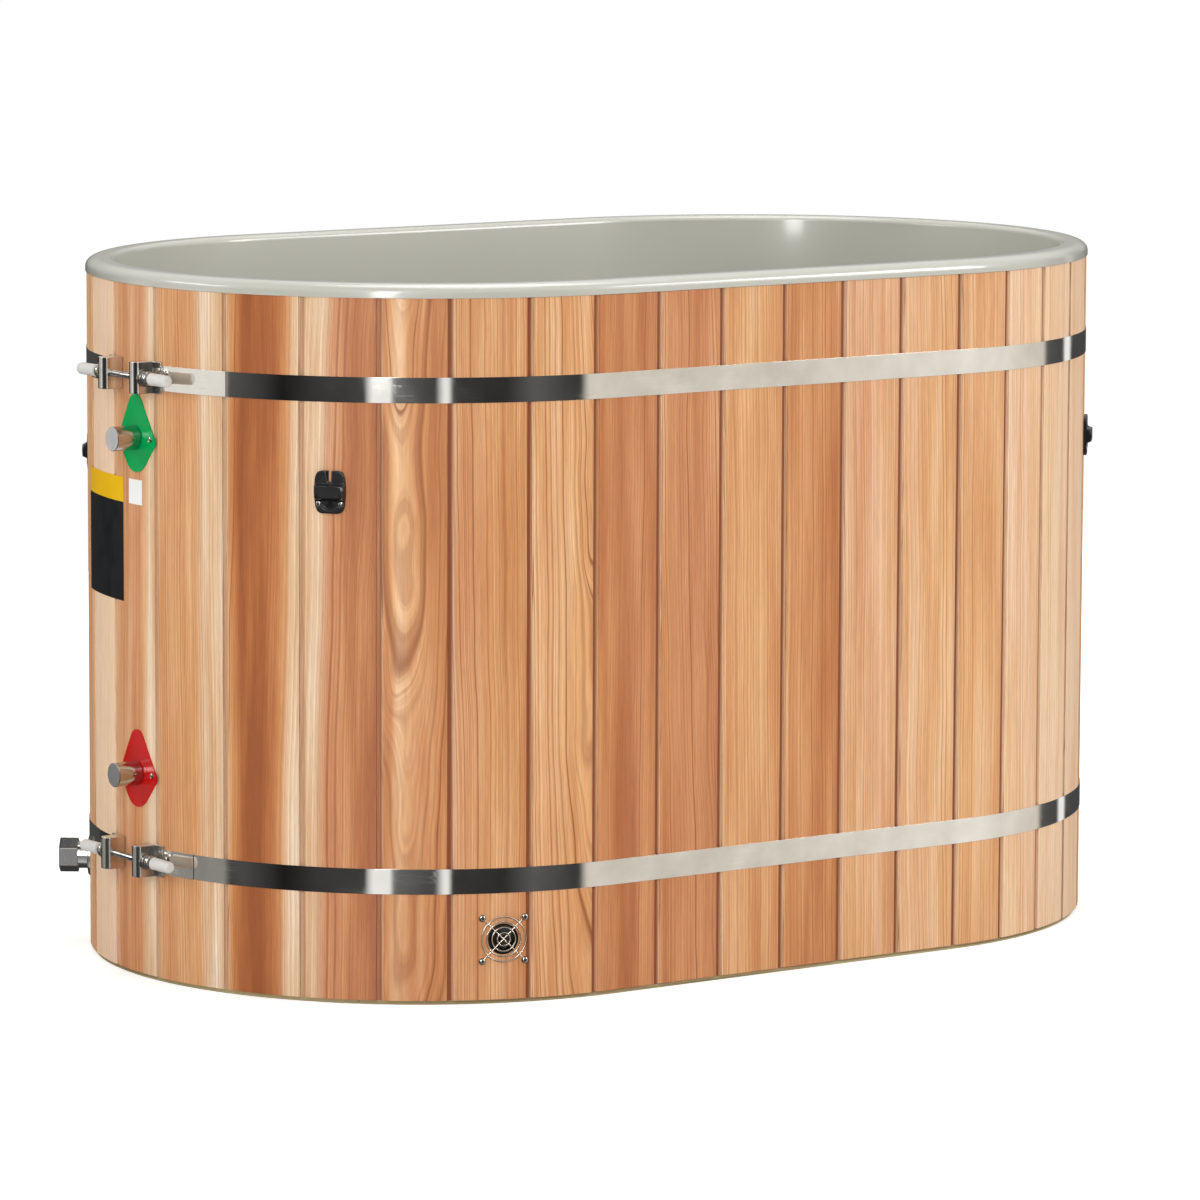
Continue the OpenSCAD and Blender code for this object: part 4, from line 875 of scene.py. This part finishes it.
screws("plate", 13.5, [
    wall_place(s, 1.5, BOARD_LOW + up) for up in PORT_UP for s in (PLATE_SCREW_S, -PLATE_SCREW_S)])
screws("latch", 15, [
    beside(wall_place(s, 3, BOARD_LOW + LATCH_UP), y, LATCH_SCREW_UP)
    for s in LATCHES.values() for y in LATCH_SCREWS])
screws("vent", 13.6, [
    beside(wall_place(VENT_S, 1.6, BOARD_LOW + VENT_UP), y, z) for y in VENT_SCREWS for z in VENT_SCREWS])


# The nodes that stay as they are in the frame take their finishes

slot_of = {part["node"]: part.get("material_slot") for part in frame["record"]["subparts"]}
for name, obj in frame["nodes"].items():
    if not obj.hide_render:
        obj.data.materials.clear()
        obj.data.materials.append(SLOT_FINISH[slot_of[name]])


# Floor, world, lamps and camera

def studio():
    """A white floor that keeps the tub's shadow, and a pale room with brighter and darker walls
    for the steel to mirror. Both look white to the camera."""
    # Half the floor's width, in metres
    h = 3.2
    mesh = bpy.data.meshes.new("studio_floor")
    mesh.from_pydata([(-h, -h, 0), (h, -h, 0), (h, h, 0), (-h, h, 0)], [], [(0, 1, 2, 3)])
    floor = add_object("studio_floor", mesh)
    mat = bpy.data.materials.new("white_floor")
    mat.use_nodes = True
    tree = mat.node_tree
    tree.nodes.remove(tree.nodes["Principled BSDF"])
    seen = node(tree, "LightPath")
    # The floor brightens away from the tub, so that its far edge doesn't show
    away = node(tree, "TexCoord")
    away = node(tree, "VectorMath", {0: away}, out="Value", operation="LENGTH")
    away = node(tree, "MapRange", {0: away, 1: 1.3, 2: 2.4, 3: 0.5, 4: 0.95})
    glow = node(tree, "Math", {0: seen, 1: away}, operation="MULTIPLY")
    matte = node(tree, "BsdfDiffuse", {"Color": paint("#E6E6E6")})
    light = node(tree, "Emission", {"Color": paint("#FFFFFF"), "Strength": glow})
    both = node(tree, "AddShader", {0: matte, 1: light})
    tree.links.new(both, tree.nodes["Material Output"].inputs["Surface"])
    mesh.materials.append(mat)
    # Steel near the floor mirrors the room rather than the white floor
    floor.visible_glossy = False

    def place(degrees):
        """A bearing from the front, positive to the right, as a share of the turn."""
        return (degrees + 180) / 360

    world = bpy.data.worlds.new("studio")
    bpy.context.scene.world = world
    world.use_nodes = True
    tree = world.node_tree
    tree.nodes.clear()
    way = node(tree, "TexCoord", out="Generated")
    x, y, z = node(tree, "SeparateXYZ", {0: way}).node.outputs
    back_y = node(tree, "Math", {0: y, 1: -1.0}, operation="MULTIPLY")
    bearing = node(tree, "Math", {0: x, 1: back_y}, operation="ARCTAN2")
    bearing = node(tree, "MapRange", {0: bearing, 1: -math.pi, 2: math.pi})
    walls = node(tree, "ValToRGB", {0: bearing}, stops=[
        (place(degrees), colour) for degrees, colour in (
            (-152, "#383838"), (-151, "#FFFFFF"), (-140, "#FFFFFF"), (-138, "#383838"), (-134, "#383838"),
            (-132, "#F0EEE8"), (-105, "#F0EEE8"), (-103.5, "#5A5A5A"), (-82, "#1C1C1C"), (-71, "#3A3A3A"),
            (-53, "#444444"), (-51.5, "#FFFFFF"), (-45, "#FFFFFF"), (-43.5, "#686868"), (-29, "#404040"),
            (-27.3, "#FFFFFF"), (-25.3, "#FFFFFF"), (-24, "#3C3C3C"), (-6, "#303030"), (4, "#5E5E5E"),
            (21, "#3A3A3A"), (24, "#E2DDD4"), (37, "#DAD4CA"), (38.5, "#FAF7F0"), (82, "#DCD6CC"),
            (84.5, "#585858"), (98, "#484848"), (99.5, "#FFFFFF"), (104.5, "#FFFFFF"), (106, "#484848"))])
    ceiling = node(tree, "MapRange", {0: z, 1: 0.25, 2: 0.5})
    # To the left the wall is dark near the floor
    low = node(tree, "MapRange", {0: z, 1: -0.15, 2: -0.12, 3: 0.7, 4: 0.0})
    left = node(tree, "MapRange", {0: bearing, 1: place(-103), 2: place(-97), 3: 1.0, 4: 0.0})
    low = node(tree, "Math", {0: low, 1: left}, operation="MULTIPLY")
    walls = node(tree, "Mix", {0: low, 6: walls, 7: paint("#303030")})
    # The far wall is pale above the floor, for what looks along the rim
    far = node(tree, "MapRange", {0: z, 1: 0.02, 2: 0.1})
    rear = node(tree, "MapRange", {0: y, 1: 0.4, 2: 0.6})
    far = node(tree, "Math", {0: far, 1: rear}, operation="MULTIPLY")
    walls = node(tree, "Mix", {0: far, 6: walls, 7: paint("#A4A4A0")})
    # The ceiling is pale round its sides and dark in the middle
    over = node(tree, "ValToRGB", {0: z}, stops=[(0.8, "#F0F0F0"), (0.88, "#5C5C5C")])
    room = node(tree, "Mix", {0: ceiling, 6: walls, 7: over})
    path = node(tree, "LightPath")
    glossy = path.node.outputs["Is Glossy Ray"]
    even = node(tree, "Mix", {0: glossy, 6: paint("#ABABAB"), 7: room})
    shown = node(tree, "Mix", {0: path, 6: even, 7: paint("#FFFFFF")})
    light = node(tree, "Background", {"Color": shown, "Strength": 1.0})
    node(tree, "OutputWorld", {"Surface": light})


def lamp(name, at, to, wide, high, watts):
    """A soft box that faces a point."""
    data = bpy.data.lights.new(name, "AREA")
    data.shape, data.size, data.size_y, data.energy = "RECTANGLE", wide, high, watts
    obj = add_object(name, data)
    obj.location = at
    obj.rotation_euler = (Vector(to) - Vector(at)).to_track_quat("-Z", "Y").to_euler()


def camera():
    """The fitted camera: it looks along its yaw, tipped down, and rolled about its own axis."""
    a, down, roll = CAMERA_YAW, CAMERA_DOWN, CAMERA_ROLL
    level, right = Vector((-math.sin(a), math.cos(a), 0)), Vector((math.cos(a), math.sin(a), 0))
    ahead = level * math.cos(down) - Vector((0, 0, 1)) * math.sin(down)
    up = Vector((0, 0, 1)) * math.cos(down) + level * math.sin(down)
    right, up = (right * math.cos(roll) + up * math.sin(roll),
                 up * math.cos(roll) - right * math.sin(roll))
    data = bpy.data.cameras.new("camera")
    data.lens, data.sensor_width, data.clip_end = CAMERA_LENS, 36.0, 100.0
    turned_to = Matrix([(*v, 0) for v in (right, up, -ahead)] + [(0, 0, 0, 1)]).transposed()
    obj = add_object("camera", data)
    obj.matrix_world = Matrix.Translation(CAMERA_AT) @ turned_to
    bpy.context.scene.camera = obj


studio()
lamp("key_lamp", (-3.4, -3.06, 1.9), (0, 0, 0.45), 0.6, 3.0, 84)
lamp("side_lamp", (-3.26, 1.52, 2.2), (-0.4, 0, 0.45), 1.6, 0.5, 24)
lamp("fill_lamp", (3.2, -3.6, 2.6), (0, 0, 0.45), 1.2, 2.4, 89)
lamp("top_lamp", (0.3, 0.1, 3.6), (0, 0, 0.5), 2.2, 2.2, 62)
camera()
bpy.context.scene.view_settings.view_transform = "Standard"
